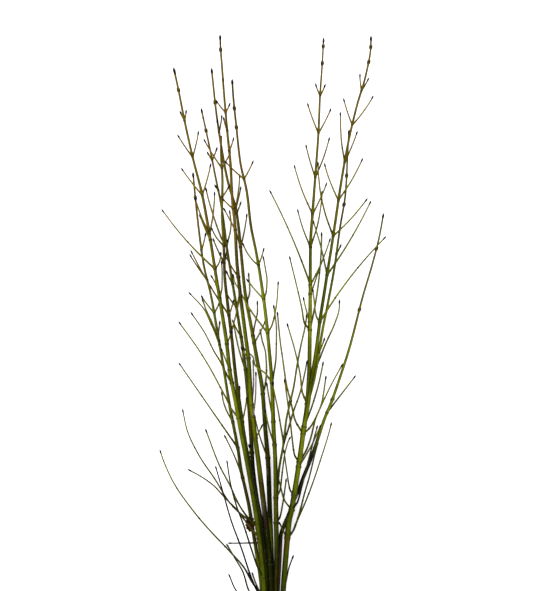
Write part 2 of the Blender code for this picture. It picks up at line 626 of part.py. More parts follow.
def leaf_rows():
    """Centre points of the leaf scrap as rows across it, from its stalk end to its torn end."""
    rows = []
    for along, half_width in ((0, 0.18), (0.22, 0.75), (0.45, 1.0), (0.62, 0.7), (0.82, 0.95), (1, 0.35)):
        across = np.array([-1, -0.45, 0.1, 0.6, 1]) * half_width
        x = LEAF_X + across * LEAF_WIDE / 2
        z = LEAF_Z + LEAF_CURL * across**2 + 0.8 * math.sin(5 * along)
        rows.append(np.stack([x, np.full(5, LEAF_HEIGHT + along * LEAF_LONG), z], axis=-1))
    return rows


def dry_leaf():
    """The leaf scrap: a thin curled blade, its rows skinned above and below."""
    builder = bmesh.new()
    half = LEAF_THICKNESS / 2 / SQUARE
    above, below = (
        [[builder.verts.new(in_metres(point + (0, 0, lift))) for point in row] for row in leaf_rows()]
        for lift in (half, -half)
    )
    for sheet in (above, below):
        for low, high in zip(sheet, sheet[1:]):
            for n in range(len(low) - 1):
                builder.faces.new((low[n], low[n + 1], high[n + 1]))
                builder.faces.new((low[n], high[n + 1], high[n]))
    rim = [[sheet[0][n] for n in range(5)] + [row[-1] for row in sheet[1:]]
           + [sheet[-1][n] for n in range(3, -1, -1)] + [row[0] for row in sheet[-2:0:-1]]
           for sheet in (above, below)]
    for n in range(len(rim[0])):
        after = (n + 1) % len(rim[0])
        builder.faces.new((rim[0][n], rim[0][after], rim[1][after], rim[1][n]))
    leaf = new_object("dry_leaf", builder)
    finish(leaf, DRY_LEAF, 0.8)
    return leaf


clear_scene()
leaf_cloud = np.column_stack([np.vstack(leaf_rows()), np.full(30, 1.3)])
twig_places = settle_twigs(leaf_cloud)
for stem_name, stem_shoots in STEMS.items():
    stem(stem_name, stem_shoots, twig_places[stem_name])
tie()
dry_leaf()
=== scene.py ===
# %% [markdown]
# # A tied bunch of nine cut dogwood stems
# In winter the yellow-twig dogwood is bare, and florists cut its stems for their bright bark. This lesson dresses
# the plain solids of such a bunch: each stem gets smooth bark, nodes, twigs and buds, and the tie becomes real
# twine. The solids are loaded first, as a frame that nothing may change.

# %% Load the frame
import math
from collections import namedtuple

import bpy
import numpy as np
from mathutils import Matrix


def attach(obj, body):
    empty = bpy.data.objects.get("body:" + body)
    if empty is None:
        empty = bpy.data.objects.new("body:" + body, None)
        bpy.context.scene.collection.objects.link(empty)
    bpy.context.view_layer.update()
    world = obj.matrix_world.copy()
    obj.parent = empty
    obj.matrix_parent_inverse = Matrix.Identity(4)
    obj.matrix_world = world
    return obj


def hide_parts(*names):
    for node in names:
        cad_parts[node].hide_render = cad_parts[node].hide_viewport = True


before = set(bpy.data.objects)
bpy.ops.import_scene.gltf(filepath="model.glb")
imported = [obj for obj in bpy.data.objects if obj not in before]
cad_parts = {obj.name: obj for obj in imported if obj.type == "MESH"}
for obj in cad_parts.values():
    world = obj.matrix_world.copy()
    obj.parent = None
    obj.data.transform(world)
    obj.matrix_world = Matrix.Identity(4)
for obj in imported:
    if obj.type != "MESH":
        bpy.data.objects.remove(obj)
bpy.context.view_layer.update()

# %% [markdown]
# ## The drawing grid
# The bunch was drawn on squared paper laid over it as seen from above: x to the right, height along the stems from
# their cut ends, and z up from the table. One square is 1.6 mm. Working in squares keeps the numbers short, and one
# helper turns them into metres with the origin under the tie, where the solids have theirs.

# %% Squares and metres
BUNCH_LENGTH = 1.000  # metres, from the cut ends to the highest tip
SQUARES_LONG = 625
SQUARE = BUNCH_LENGTH / SQUARES_LONG
TIE_X, TIE_HEIGHT = 0.2, 35  # where the origin lies on the grid


def in_metres(points):
    """Points of the grid in metres from the origin."""
    return (np.asarray(points, float) - (TIE_X, TIE_HEIGHT, 0)) * SQUARE


print("a square is", SQUARE * 1000, "mm, and the highest tip is at", in_metres([(0, SQUARES_LONG, 0)])[0])

# %% [markdown]
# ## The camera
# The picture looks straight down on the bunch from far away through a long lens, so nothing looks larger for being
# nearer. The frame is 550 by 591 pixels and a pixel is one square, so the view is 0.88 m wide. The cut ends and the
# tie lie just below its lower edge. The lens is worked out from the distance and from what the frame must take in.

# %% Point the camera
PHOTO_WIDE, PHOTO_HIGH = 550, 591
PHOTO_MIDDLE = (3, 364.5)  # the square in the middle of the picture
CAMERA_UP = 30.0
SHARP_HEIGHT = 0.05  # the level at which a pixel is exactly one square

camera_data = bpy.data.cameras.new("camera")
camera_data.sensor_width = 36
camera_data.lens = camera_data.sensor_width * (CAMERA_UP - SHARP_HEIGHT) / (max(PHOTO_WIDE, PHOTO_HIGH) * SQUARE)
camera_data.clip_start, camera_data.clip_end = 1, 100
camera = bpy.data.objects.new("camera", camera_data)
bpy.context.scene.collection.objects.link(camera)
camera.location = (*in_metres([(*PHOTO_MIDDLE, 0)])[0][:2], CAMERA_UP)
bpy.context.scene.camera = camera
print("lens", round(camera_data.lens), "mm at", tuple(round(value, 3) for value in camera.location))

# %% [markdown]
# ## The light
# Bare stems on white paper are usually lit from above by one broad lamp, with a bright room around them. The paper
# then burns out to white, and each stem keeps a bright back and dark flanks, which are also painted into the bark's
# colour as painted light and shade. A second lamp from the left gives the bark a soft side. The world's grey stands
# for the room's walls.

# %% Hang the lamps
BUNCH_MIDDLE = (0, 0.45, 0.03)  # metres
ROOM_GLOW = 0.14


def lamp(name, place, size, watts, colour=(1, 1, 1)):
    """A square soft lamp that shines at the middle of the bunch."""
    data = bpy.data.lights.new(name, "AREA")
    data.shape, data.size, data.energy, data.color = "SQUARE", size, watts, colour
    thing = bpy.data.objects.new(name, data)
    bpy.context.scene.collection.objects.link(thing)
    thing.location = np.add(BUNCH_MIDDLE, place)
    back = np.array(place, float) / np.linalg.norm(place)
    thing.rotation_euler = (math.acos(back[2]), 0, math.atan2(back[0], -back[1]) if abs(back[2]) < 1 else 0)


lamp("overhead", (-0.4, 0.2, 3.0), 3.0, 130)
lamp("side", (-2.6, -0.6, 2.4), 0.8, 10)
world = bpy.data.worlds.new("room")
world.use_nodes = True
world.node_tree.nodes["Background"].inputs["Color"].default_value = (1, 1, 1, 1)
world.node_tree.nodes["Background"].inputs["Strength"].default_value = ROOM_GLOW
bpy.context.scene.world = world
bpy.context.scene.view_settings.view_transform = "Standard"
print("lamps:", [light.name for light in bpy.data.lights])

# %% [markdown]
# ## The paper
# The bunch lies on plain white paper, which here is one large flat square just touching its lowest twigs. Paper
# scatters light evenly, so its roughness is high. It is stage, not part of the bunch.

# %% Lay the paper
PAPER_HALF, PAPER_NEAR, PAPER_FAR = 4, -4, 5  # metres from the origin to its sides and ends
PAPER_FINISH = {"Base Color": (0.94, 0.94, 0.94, 1), "Roughness": 0.9,
                "Emission Color": (1, 1, 1, 1), "Emission Strength": 0.5}  # lit paper burns out to white

corners = [(-PAPER_HALF, PAPER_NEAR), (PAPER_HALF, PAPER_NEAR), (PAPER_HALF, PAPER_FAR), (-PAPER_HALF, PAPER_FAR)]
paper_mesh = bpy.data.meshes.new("paper")
paper_mesh.from_pydata([(x, y, 0) for x, y in corners], [], [(0, 1, 2, 3)])
paper = bpy.data.objects.new("paper", paper_mesh)
bpy.context.scene.collection.objects.link(paper)
paper_look = bpy.data.materials.new("white paper")
paper_look.use_nodes = True
for socket, value in PAPER_FINISH.items():
    paper_look.node_tree.nodes["Principled BSDF"].inputs[socket].default_value = value
paper_mesh.materials.append(paper_look)
print("the paper is", tuple(round(side, 1) for side in paper.dimensions[:2]), "metres")

# %% [markdown]
# ## How the stems were drawn
# Every stem is a line of (x, height) points with its rise above the table, its thickness, and its twigs. Dogwood
# grows its twigs in pairs, one to each side of a node, and each pair is turned against the next. A twig is given by
# the height of its root and the place of its tip. Where it has a bend of its own, that follows.

# %% Draw the stems
# Line is (x, height), rise is (height, z), buds are heights of bare bud pairs, and thick and thin are diameters
# in metres at the cut end and the tip. Twigs are (root height, tip x, tip height), and an unusual one has its
# bend after them: how far it bows, or the (x, height) points that it passes.
Shoot = namedtuple("Shoot", "line rise thick thin twigs buds blunt", defaults=[(), (), False])

STEMS = {
    "cane_1": [Shoot(
        line=[
            (-7.2, 2), (-6.4, 35), (-7.5, 69), (-11.3, 110), (-14.9, 140), (-18, 160), (-20.8, 175),
            (-23.1, 188), (-26.8, 208), (-29.2, 220), (-36.5, 260), (-42, 288), (-45.3, 317), (-51.5, 357),
            (-57, 391), (-62.5, 426), (-69.7, 465), (-79.3, 503), (-87.3, 539), (-93.2, 569), (-98.3, 592.5),
        ],
        rise=[
            (2, 13.5), (35, 13.5), (50, 16), (69, 18.5), (110, 21.5), (160, 26), (260, 40), (420, 60),
            (592.5, 78),
        ],
        thick=0.0083,
        thin=0.0034,
        twigs=[
            (539, -92.3, 549.5), (539, -85.5, 550.5), (503, -94.5, 525.5), (503, -73.3, 529.5),
            (465, -91, 492.5), (465, -61, 497), (426, -77, 463), (426, -57.4, 469), (420, -72.7, 446.5),
            (391, -110.7, 451.3), (391, -51, 409, [(-53.2, 396.5), (-51.6, 402)]),
            (362, -61.7, 385.5, [(-54.5, 370), (-57, 377.5)]), (362, -50.4, 400, [(-50, 372), (-49.8, 385)]),
            (316, -40.5, 330), (290, -51.5, 313, 0),
            (277, -81.5, 348.5, [(-44, 283), (-47.8, 290.5), (-52.5, 300), (-57.5, 308), (-67, 327)]),
            (242, -94, 339, [(-41, 251.5), (-45.5, 261), (-50.3, 270), (-61, 290), (-73.3, 310)]),
            (136, -89.5, 252, [(-26, 142), (-42, 157), (-57, 181), (-73, 205), (-85, 231)]),
            (132, -67, 231.5, [(-24, 142), (-33, 155), (-42, 174), (-53, 195)]),
            (122, -85, 191, [(-17, 127), (-26, 138), (-36, 151), (-47, 162), (-58, 174), (-72, 184)]),
            (117.5, -45, 117), (82, -45.2, 201, [(-14, 92), (-21, 112), (-28, 134), (-36, 156), (-41.7, 178)]),
        ],
        buds=[569],
    )],
    "cane_2": [Shoot(
        line=[
            (-9.6, 3), (-8.6, 35), (-10.5, 70), (-16.2, 112), (-19.2, 130), (-23.3, 155), (-27, 172),
            (-30.7, 188), (-34, 210), (-42.5, 255), (-49, 295), (-55, 330), (-61, 364), (-68.5, 396),
            (-72, 420), (-76.7, 462), (-79.2, 488.5),
        ],
        rise=[(3, 8.6), (35, 8.6), (70, 9), (110, 10), (200, 13), (320, 16), (488.5, 20)],
        thick=0.0058,
        thin=0.0032,
        twigs=[
            (410, -66.2, 428), (380, -82.7, 406.5), (347, -71.5, 365.5), (347, -52, 359), (326, -52.2, 340),
            (319, -70.5, 362.5, [(-57, 329.5), (-60.6, 338.5), (-66, 350)]),
            (315, -84, 368.5, [(-57.4, 328), (-61.4, 337), (-67.5, 350)]),
            (238, -50.7, 269, [(-46, 250), (-49, 259)]), (212, -93.7, 298, 0), (182, -48.3, 225.5, -1),
            (66, -112.6, 211, [(-19, 76), (-28, 92), (-43, 109), (-62, 129), (-79, 149), (-99, 178), (-109, 200)]),
            (62, -20.2, 88), (58, -56.7, 195, [(-20, 80), (-30, 110), (-41, 140), (-49, 168)]),
            (51, -46, 116.5, [(-23.3, 69), (-29, 87), (-37, 101)]), (46, -43.7, 86.5, [(-36.5, 70)]),
        ],
        buds=[462],
    )],
    "cane_3": [Shoot(
        line=[
            (-2.8, 1), (-2.4, 35), (-3, 69), (-6.5, 115), (-15.3, 162), (-18.9, 190), (-20.5, 215),
            (-23.5, 257), (-28.2, 304), (-34, 343), (-39.5, 377), (-45.5, 415), (-50, 450), (-56.5, 483),
            (-62.5, 513), (-71, 552.5),
        ],
        rise=[(1, 4), (35, 4), (50, 6), (69, 7.8), (110, 9), (200, 13), (300, 18), (430, 25), (552.5, 34)],
        thick=0.0072,
        thin=0.0028,
        twigs=[
            (500, -65.3, 509), (500, -54.6, 513.7), (470, -57.8, 476),
            (415, -66.6, 473.2, [(-50.3, 421), (-52.7, 427), (-56.5, 437.5), (-63.5, 460)]),
            (415, -42.6, 450.5, [(-43.3, 422), (-41.6, 429), (-41, 437)]), (376, -46, 390),
            (353, -45.7, 366.5), (353, -32.5, 369), (323, -40, 341), (290, -38.5, 338), (207, -23.5, 216.5),
        ],
        buds=[529],
    )],
    "cane_4": [Shoot(
        line=[
            (3, 2), (2.8, 35), (2.3, 50), (0, 69), (-0.7, 110), (-2.4, 155), (-3.8, 195), (-7, 235),
            (-9.7, 270), (-15.2, 302), (-21, 334), (-27, 368), (-30.7, 405), (-34, 438), (-36.5, 452),
            (-44.5, 480), (-50.5, 512), (-55.7, 547), (-60.6, 592.5),
        ],
        rise=[(2, 4.25), (39, 4.25), (50, 3.8), (69, 3.6), (110, 5), (200, 8.5), (300, 13), (430, 19), (592.5, 26)],
        thick=0.0080,
        thin=0.0032,
        twigs=[
            (528, -50.2, 546), (528, -54.8, 541), (452, -32.4, 486.5), (452, -31, 474.5), (447, -30.7, 459.5),
            (413, -25.1, 447), (413, -37, 435),
            (359, -23.4, 388, [(-23.3, 363.5), (-22.2, 369), (-22.5, 376), (-23.2, 382)]),
            (324, -14.7, 360, [(-17.5, 334), (-14.5, 350)]), (317, -6, 341),
            (266, -12.2, 331.5, [(-7, 274), (-5.5, 289), (-6.3, 306), (-10, 320)]), (202, -17.7, 246),
        ],
        buds=[557],
    )],
    "cane_5": [Shoot(
        line=[
            (-1, 0), (-0.7, 35), (-0.5, 69), (-3.2, 112), (-8.2, 155), (-12.7, 192), (-17.2, 226),
            (-21.2, 262), (-23.2, 298), (-27.2, 330), (-31.7, 366), (-35.3, 402), (-37, 435), (-39.8, 463),
            (-41.3, 494), (-44.7, 529), (-47.7, 564), (-50, 595), (-51.3, 611), (-51.8, 625),
        ],
        rise=[(0, 13.5), (35, 13.5), (50, 16), (69, 17.5), (110, 21), (200, 32), (300, 46), (450, 68), (625, 92)],
        thick=0.0086,
        thin=0.0032,
        twigs=[
            (547, -56.7, 560.5), (547, -41.4, 557.5), (529, -48.5, 543), (509, -37.9, 523),
            (451, -50.5, 462.5), (430, -48.8, 452.5, 0), (383, -47.7, 406.5), (302, -31.5, 313.5),
            (255, -19.1, 301), (243, -16.2, 289), (222, -9.2, 236.5),
        ],
        buds=[609],
    )],
    "cane_6": [Shoot(
        line=[
            (-4.3, 4), (-3.7, 35), (-5.5, 69), (-7.5, 108), (-14, 150), (-21, 185), (-27.2, 220), (-32.2, 254),
            (-36.7, 287), (-40, 320), (-44, 353), (-47.3, 385), (-48.3, 417), (-50, 448), (-49.5, 478),
            (-51, 510), (-50.8, 524),
        ],
        rise=[(4, 8.9), (35, 8.9), (50, 11), (69, 12.9), (110, 15.5), (200, 22), (300, 31), (420, 46), (524, 58)],
        thick=0.0074,
        thin=0.0036,
        twigs=[
            (492, -68.6, 521.7), (492, -41, 509), (463, -42, 475.5),
            (414, -61.5, 434, [(-52.5, 418.5), (-56, 423), (-58.5, 427.5)]), (397, -59.2, 422.5),
            (397, -44, 422), (345, -81.7, 410.5, 1.5), (345, -38.2, 361), (328, -32, 366.5), (238, -32.3, 275),
            (238, -25.2, 264), (203, -20.5, 216),
        ],
        blunt=True,
    )],
    "cane_7": [Shoot(
        line=[
            (5.4, 3), (4.8, 35), (3.5, 69), (4.5, 105), (4, 152), (3.3, 198), (1.3, 238), (0, 276),
            (-2.8, 310), (-6.3, 345), (-11, 379), (-15.5, 406), (-21.2, 435), (-25, 467), (-31.7, 498),
            (-35.4, 531), (-38.8, 565), (-39.8, 581),
        ],
        rise=[
            (3, 13.5), (35, 13.5), (50, 13), (69, 12), (110, 15), (152, 19.5), (200, 26), (300, 37), (450, 54),
            (581, 70),
        ],
        thick=0.0077,
        thin=0.0033,
        twigs=[
            (481, -47.7, 499.3), (481, -18.3, 500),
            (395, -30, 418, [(-17.5, 397.8), (-21, 401.8), (-25, 407.5)]), (395, -7.8, 413), (361, -26, 382),
            (361, -9, 404.5, [(-5.8, 368), (-5, 380), (-6.4, 390)]),
            (327, -39.2, 387, [(-20, 347.5), (-28, 361), (-33, 370.5), (-37.5, 378.5)]),
            (327, 6.3, 379.5, [(0, 335), (3, 347), (5, 360)]),
            (277, -30.5, 314, [(-7, 287), (-12, 290.5), (-17, 295), (-19, 303), (-24, 307.5)]),
            (277, 1.3, 356, 4), (238, -5.5, 278, [(-3, 262)]), (215, -7, 252),
            (162, 19, 224, [(8, 170), (10.5, 190), (12.5, 205), (16, 218.5)]),
            (137, 14.4, 182, [(8, 143), (11, 158), (13.5, 175)]),
        ],
        buds=[551, 532],
    ), Shoot(
        line=[
            (4, 152), (7, 190), (11.8, 218), (14.3, 240), (18, 257), (21.5, 272), (25, 294), (29, 315),
            (33, 333), (35.3, 348),
        ],
        rise=[(152, 19.5), (192, 20), (272, 20), (348, 22)],
        thick=0.0043,
        thin=0.0028,
        twigs=[
            (217, 35.3, 300, [(16, 230), (21, 247), (28, 267), (33, 288)]),
            (217, 0, 279, [(9.5, 229), (6, 250), (3.5, 262)]),
        ],
        buds=[258],
    )],
    "cane_8": [Shoot(
        line=[
            (10.8, 2), (9.6, 35), (11.2, 69), (13.8, 102), (17.2, 140), (19.6, 150), (22.9, 170), (27.5, 200),
            (31.6, 230), (34.5, 250), (36.2, 270), (37.5, 300), (37.8, 330), (38.2, 360), (38.4, 413),
            (40.5, 446), (43.2, 483), (46.4, 527), (48, 564), (50.2, 596), (51.6, 622.5),
        ],
        rise=[
            (2, 8.8), (35, 8.8), (50, 10.2), (69, 11), (110, 14), (158, 17.5), (236, 24), (330, 33), (450, 45),
            (622.5, 60),
        ],
        thick=0.0090,
        thin=0.0028,
        twigs=[
            (564, 43.2, 577), (564, 53.6, 576.5), (527, 35.3, 557.5), (527, 59.2, 552), (483, 33.7, 516),
            (483, 57.7, 523.5), (446, 21.9, 496), (446, 55, 478), (413, 25.3, 451.5), (413, 50.3, 470, 2.5),
            (375, -2.8, 470.5, -2), (375, 58.5, 422.5), (366, 47.5, 394), (338, 31.2, 364),
            (330, 17.2, 404.5, [(32, 338), (30, 350)]), (330, 49.6, 428.5, 3),
            (256, 14.7, 337.5, [(30, 269), (28.3, 284), (23.5, 307), (17, 330)]), (233, 51.5, 299),
            (226, 5.3, 349, [(23, 240), (19, 257), (14.5, 275), (10.5, 302), (8, 320)]),
            (226, 71, 297, [(38, 232.5), (43, 241), (49, 254), (60, 277)]),
            (198, 12.3, 282, [(22.5, 205), (20.3, 220), (18.3, 238), (15, 262)]),
            (198, 54.3, 285, [(34, 209), (38.5, 221), (43.3, 240), (50, 258)]), (193, 49, 236),
            (165, 11.7, 211, [(18, 170), (15, 187.5)]), (150, 3, 202.5, [(12, 160.5), (9, 171.5), (6, 184)]),
            (150, 45.6, 235.5, [(25.5, 158), (29.5, 172.5), (33, 186), (42, 222)]),
            (125, 46.4, 219, [(20.6, 128), (25.4, 140), (28.5, 150.5), (32.5, 166), (38, 185), (42.5, 204)]),
            (122, 7, 138.5),
            (122, 59.6, 238.5, [(20, 127), (25, 139), (33, 157), (41, 178), (49, 202), (57, 228)]),
            (62, 21.8, 105, [(14.5, 80), (16.5, 90)]),
        ],
        buds=[613, 596],
    ), Shoot(
        line=[
            (32.6, 236), (36.8, 260), (39.3, 280), (42.6, 300), (45.5, 320), (48, 340), (50.3, 355),
            (54.5, 382), (59.3, 412), (63.5, 440), (69, 477), (75.5, 514), (84.5, 553), (93.5, 584),
            (98.5, 612), (98.8, 624),
        ],
        rise=[(236, 24), (260, 29), (300, 36), (400, 52), (500, 67), (624, 84)],
        thick=0.0064,
        thin=0.0032,
        twigs=[
            (569, 87.7, 586.5), (569, 97, 582.5), (535, 71.2, 562), (535, 101.3, 564.5, 2),
            (498, 68.2, 548, 1.5), (498, 85.5, 529.5), (460, 52.3, 497.5, 2), (460, 90.8, 502),
            (424, 45.9, 498.3, 4), (424, 95.7, 462), (385, 40.5, 441, -1), (385, 99, 459.5, 2),
            (338, 40.5, 372, [(44.5, 343), (43, 350), (42, 360)]), (338, 114.5, 424, -3.4),
        ],
        buds=[612, 597],
    ), Shoot(
        line=[
            (37, 262), (42.5, 283), (46.5, 306), (51, 332), (56, 357), (62.7, 394), (67.7, 430), (73.8, 470),
            (75.8, 510), (77, 531),
        ],
        rise=[(262, 29.5), (283, 29.5), (332, 31), (430, 34), (531, 38)],
        thick=0.0051,
        thin=0.0028,
        twigs=[(406, 69.4, 416.5), (307, 52.9, 323), (293, 67.6, 361, [(54, 317), (63, 337), (67.3, 352)])],
        buds=[484, 455],
    )],
    "cane_9": [Shoot(
        line=[
            (4.8, 5), (4.5, 35), (6, 69), (7.8, 104), (8.8, 124), (12.6, 135.5), (16.4, 144.5), (22.2, 160),
            (26.8, 170), (30.4, 180), (34.5, 190), (38.6, 200), (45.5, 220), (52.2, 240), (60.3, 260),
            (65.5, 275), (77.8, 313), (91, 364), (100.5, 396), (107.3, 423), (111.8, 447.5),
        ],
        rise=[(5, 8.75), (35, 8.75), (50, 8), (69, 7), (110, 7.5), (158, 9.3), (250, 12), (350, 16), (447.5, 22)],
        thick=0.0064,
        thin=0.0028,
        twigs=[(247, 84.3, 285, 0)],
        buds=[411, 350, 260],
    )],
}
print(len(STEMS), "stems with", sum(len(shoot.twigs) for shoots in STEMS.values() for shoot in shoots), "twigs")

# %% [markdown]
# ## A line without overshoot
# A plain spline through the points swings wide where they turn, and neighbouring stems would then touch. This one
# takes at each point a slope between those on its two sides, and none where they differ in sign, so it never leaves
# the range of the points that it joins.

# %% Smooth a line through points
def smooth(knots, at):
    """Values at the given heights on a smooth line through (height, value) knots, with no overshoot."""
    heights, values = (np.array(column, float) for column in zip(*knots))
    chords = np.diff(values) / np.diff(heights)
    product, total = chords[:-1] * chords[1:], chords[:-1] + chords[1:]
    same_way = product > 0
    inner = np.where(same_way, 2 * product / np.where(same_way, total, 1), 0)
    slopes = np.concatenate([chords[:1], inner, chords[-1:]])
    low = np.clip(np.searchsorted(heights, at, side="right") - 1, 0, len(heights) - 2)
    step = heights[low + 1] - heights[low]
    t = np.clip((at - heights[low]) / step, 0, 1)
    rise = values[low + 1] - values[low]
    start, end = slopes[low] * step, slopes[low + 1] * step
    return values[low] + t * (start + t * (3 * rise - 2 * start - end + t * (start + end - 2 * rise)))


print("halfway between 0 and 1 the line is at", smooth([(0, 0), (1, 1), (2, 1)], np.array([0.5])))

# %% [markdown]
# ## A stem's thickness
# A stem tapers from the tie to its tip. It swells a little at each node, where the twigs and buds sit, and its last
# stretch is a pointed bud. The rings made here are the coarse ones of the solids: they say how much room each stem
# takes up when the twigs are placed.

# %% Size the stems
TAPER = 1.2  # exponent of a stem's taper
PACKED_TO, OPEN_IN = 60, 40  # the lowest nodes are packed close: height up to which, and the stretch that opens out
LEAST_OPEN = 0.25
BUD_FAT = 1.35  # a bud's radius at its belly, as a share of its stalk's
FULL_TO = 150  # height up to which a stem keeps its full thickness
NODE_SWELL = 0.22  # share by which a node is thicker than its stem
NODE_REACH = 2.5
TERMINAL_BUD = 6
SHOOT_RINGS, TWIG_RINGS = 18, 30  # longest stretches between rings
CLOSEST_RINGS = 1.1
FAN_RINGS = (39, 50, 62)  # where the stems leave the tie and fan out


def ends(shoot):
    """Heights of a shoot's foot and top."""
    return shoot.line[0][1], shoot.line[-1][1]


def axis(shoot, at):
    """Points of a shoot's centre line at the given heights."""
    at = np.asarray(at, float)
    sideways = smooth([(height, x) for x, height in shoot.line], at)
    return np.stack([sideways, at, smooth(shoot.rise, at)], axis=-1)


def girth(shoot, at):
    """Radius of a shoot between its nodes, in squares."""
    foot, top = ends(shoot)
    left = np.clip((top - np.asarray(at, float)) / (top - max(foot, FULL_TO)), 0, 1)
    return (shoot.thin + (shoot.thick - shoot.thin) * left**TAPER) / 2 / SQUARE


def nodes(shoot):
    """Heights where a shoot carries twigs or buds."""
    return sorted({twig[0] for twig in shoot.twigs} | set(shoot.buds))


def openness(heights):
    """How freely a node swells at the given heights, as a share. The lowest nodes are packed close and swell less."""
    return np.clip((heights - PACKED_TO) / OPEN_IN, LEAST_OPEN, 1)


def ring_heights(shoot):
    """Heights of a shoot's rings: two at each node, three in its top bud, and others between them."""
    foot, top = ends(shoot)
    marks = [foot, top] + [node + step for node in nodes(shoot) for step in (-NODE_REACH, 0)]
    marks += [] if shoot.blunt else [top - TERMINAL_BUD * share for share in (1, 0.6)]
    marks += [height for height in FAN_RINGS if height > foot]
    heights = [foot]
    for mark in sorted(marks)[1:]:
        gap = mark - heights[-1]
        if gap < CLOSEST_RINGS and mark != top:
            continue
        pieces = math.ceil(gap / SHOOT_RINGS)
        heights += [mark - gap * (pieces - n) / pieces for n in range(1, pieces + 1)]
    return np.array(heights)


def shoot_rings(shoot):
    """A shoot's rings as rows of x, height, z and radius, with its nodes swollen and its top bud shaped."""
    heights = ring_heights(shoot)
    swell = np.zeros(len(heights))
    for node in nodes(shoot):
        swell = np.maximum(swell, np.exp(-(((heights - node) / (NODE_REACH * 0.6)) ** 2)))
    radii = girth(shoot, heights) * (1 + NODE_SWELL * openness(heights) * swell)
    if not shoot.blunt:
        below_top = (ends(shoot)[1] - heights) / TERMINAL_BUD
        radii *= np.interp(below_top, (0, 0.6, 1), (0, BUD_FAT, 1))
    return np.column_stack([axis(shoot, heights), radii])


thickest = max((girth(shoots[0], 40) * 2 * SQUARE * 1000, name) for name, shoots in STEMS.items())
print("the thickest stem is", thickest)

# %% [markdown]
# ## Buds along the stem
# Where a node bears no twigs, two small buds lie close against the bark, one to each side.

# %% Place the bare buds
SIDE_BUD = 5.5


def bud_rings(shoot, height):
    """The rings of a pair of small buds that lie close along the stem, one to each side."""
    root = axis(shoot, [height - SIDE_BUD / 2])[0]
    reach = girth(shoot, height) + 0.9
    pair = []
    for side in (-1, 1):
        tip = axis(shoot, [height + SIDE_BUD / 2])[0] + (side * reach * 0.95, 0, 0)
        middle = (root + tip) / 2 + (side * reach * 0.3, 0, 0)
        pair.append(np.column_stack([np.array([root, middle, tip]), (0.6, 0.75, 0)]))
    return pair


print("bare pairs of buds:", sum(len(shoot.buds) for shoots in STEMS.values() for shoot in shoots))

# %% [markdown]
# ## The way of a twig
# A twig leaves its stem wide and then turns up towards the light. Most follow one plain bow. Some are crooked and
# pass points of their own. Twigs that would sink into the table lie on it.

# %% Bend the twigs
TWIG_TIP = 0.0023  # diameters of a twig at its tip and at its root, in metres
SHORT_TWIG_ROOT = 0.0026
LONG_TWIG_ROOT = 0.0035
LONG_TWIG = 0.160  # length from which a twig has the thickest root
TWIG_TAPER = 0.8  # exponent of a twig's taper
FLARE, FLARE_REACH = 0.35, 3  # share by which a twig's root is thicker, and the squares that this takes to fade
TWIG_BUD = 5
BOW = 0.03  # sag of a twig below its chord, as a share of its length


def so_far(points):
    """How far along a line each of its points lies."""
    return np.concatenate([[0], np.cumsum(np.linalg.norm(np.diff(points, axis=0), axis=1))])


def smooth_rows(marks, rows, at):
    """Rows on a smooth line through the rows that stand at the marks."""
    return np.column_stack([smooth(list(zip(marks, column)), at) for column in np.transpose(rows)])


def plain_radii(length, shares):
    """Radius of a twig without its bud at shares of its length, with the flare at its root."""
    root = SHORT_TWIG_ROOT + (LONG_TWIG_ROOT - SHORT_TWIG_ROOT) * min(1, length * SQUARE / LONG_TWIG)
    plain = (root + (TWIG_TIP - root) * shares**TWIG_TAPER) / 2 / SQUARE
    return plain * (1 + FLARE * np.exp(-shares * length / FLARE_REACH))


def twig_radii(length, shares):
    """Radius of a twig at shares of its length, from its flared root to its bud."""
    left = (1 - shares) * length / TWIG_BUD
    return plain_radii(length, shares) * np.interp(left, (0, 0.7, 1), (0, 1.5, 1))


def bowed(root, tip, bow, shares):
    """Points at shares of a twig that leaves its stem wide and then turns up towards its tip."""
    chord = tip - root
    flat = np.hypot(chord[0], chord[1])
    sag = BOW * flat if bow is None else bow
    outward = np.array([chord[1], -chord[0], 0]) * math.copysign(1, chord[0]) / flat
    control = root + chord * (0.5, 0.5, 0.6) + 2 * sag * outward
    t = shares[:, None]
    return root * (1 - t) ** 2 + control * 2 * t * (1 - t) + tip * t**2


def crooked(root, tip, stops, shares):
    """Points at shares of a twig that passes the stops, and the shares where it does."""
    way = np.array([root[:2], *stops, tip[:2]])
    along = so_far(way)
    along /= along[-1]
    rise = root[2] + (tip[2] - root[2]) * shares * (1.2 - 0.2 * shares)
    return np.column_stack([smooth_rows(along, way, shares), rise]), along[1:-1]


def twig_rings(root, tip, bend):
    """A twig's rings. It lies on the surface where it would sink into it."""
    length = np.linalg.norm(tip - root)
    low, high = min(4 / length, 0.3), 1 - 0.7 * TWIG_BUD / length
    pieces = max(1, round(length / TWIG_RINGS))
    shares = np.array([0, *np.linspace(low, high, pieces + 1), 1])
    if isinstance(bend, list):
        stops = crooked(root, tip, bend, shares)[1]
        shares = np.array([0, low, *stops[(stops > low + 0.02) & (stops < high - 0.02)], high, 1])
        points = crooked(root, tip, bend, shares)[0]
    else:
        points = bowed(root, tip, bend, shares)
    radii = twig_radii(length, shares)
    points[:, 2] = np.maximum(points[:, 2], radii)
    return np.column_stack([points, radii])


print("a twig has", len(twig_rings(np.zeros(3), np.array([20.0, 60, 5]), None)), "coarse rings")

# %% [markdown]
# ## Room for every twig
# Seen from above the twigs cross each other, but real ones pass over and under. Each twig leans up or down as far as
# its spread from the stem says. Where that would touch another stem's wood, other leans are tried in turn.

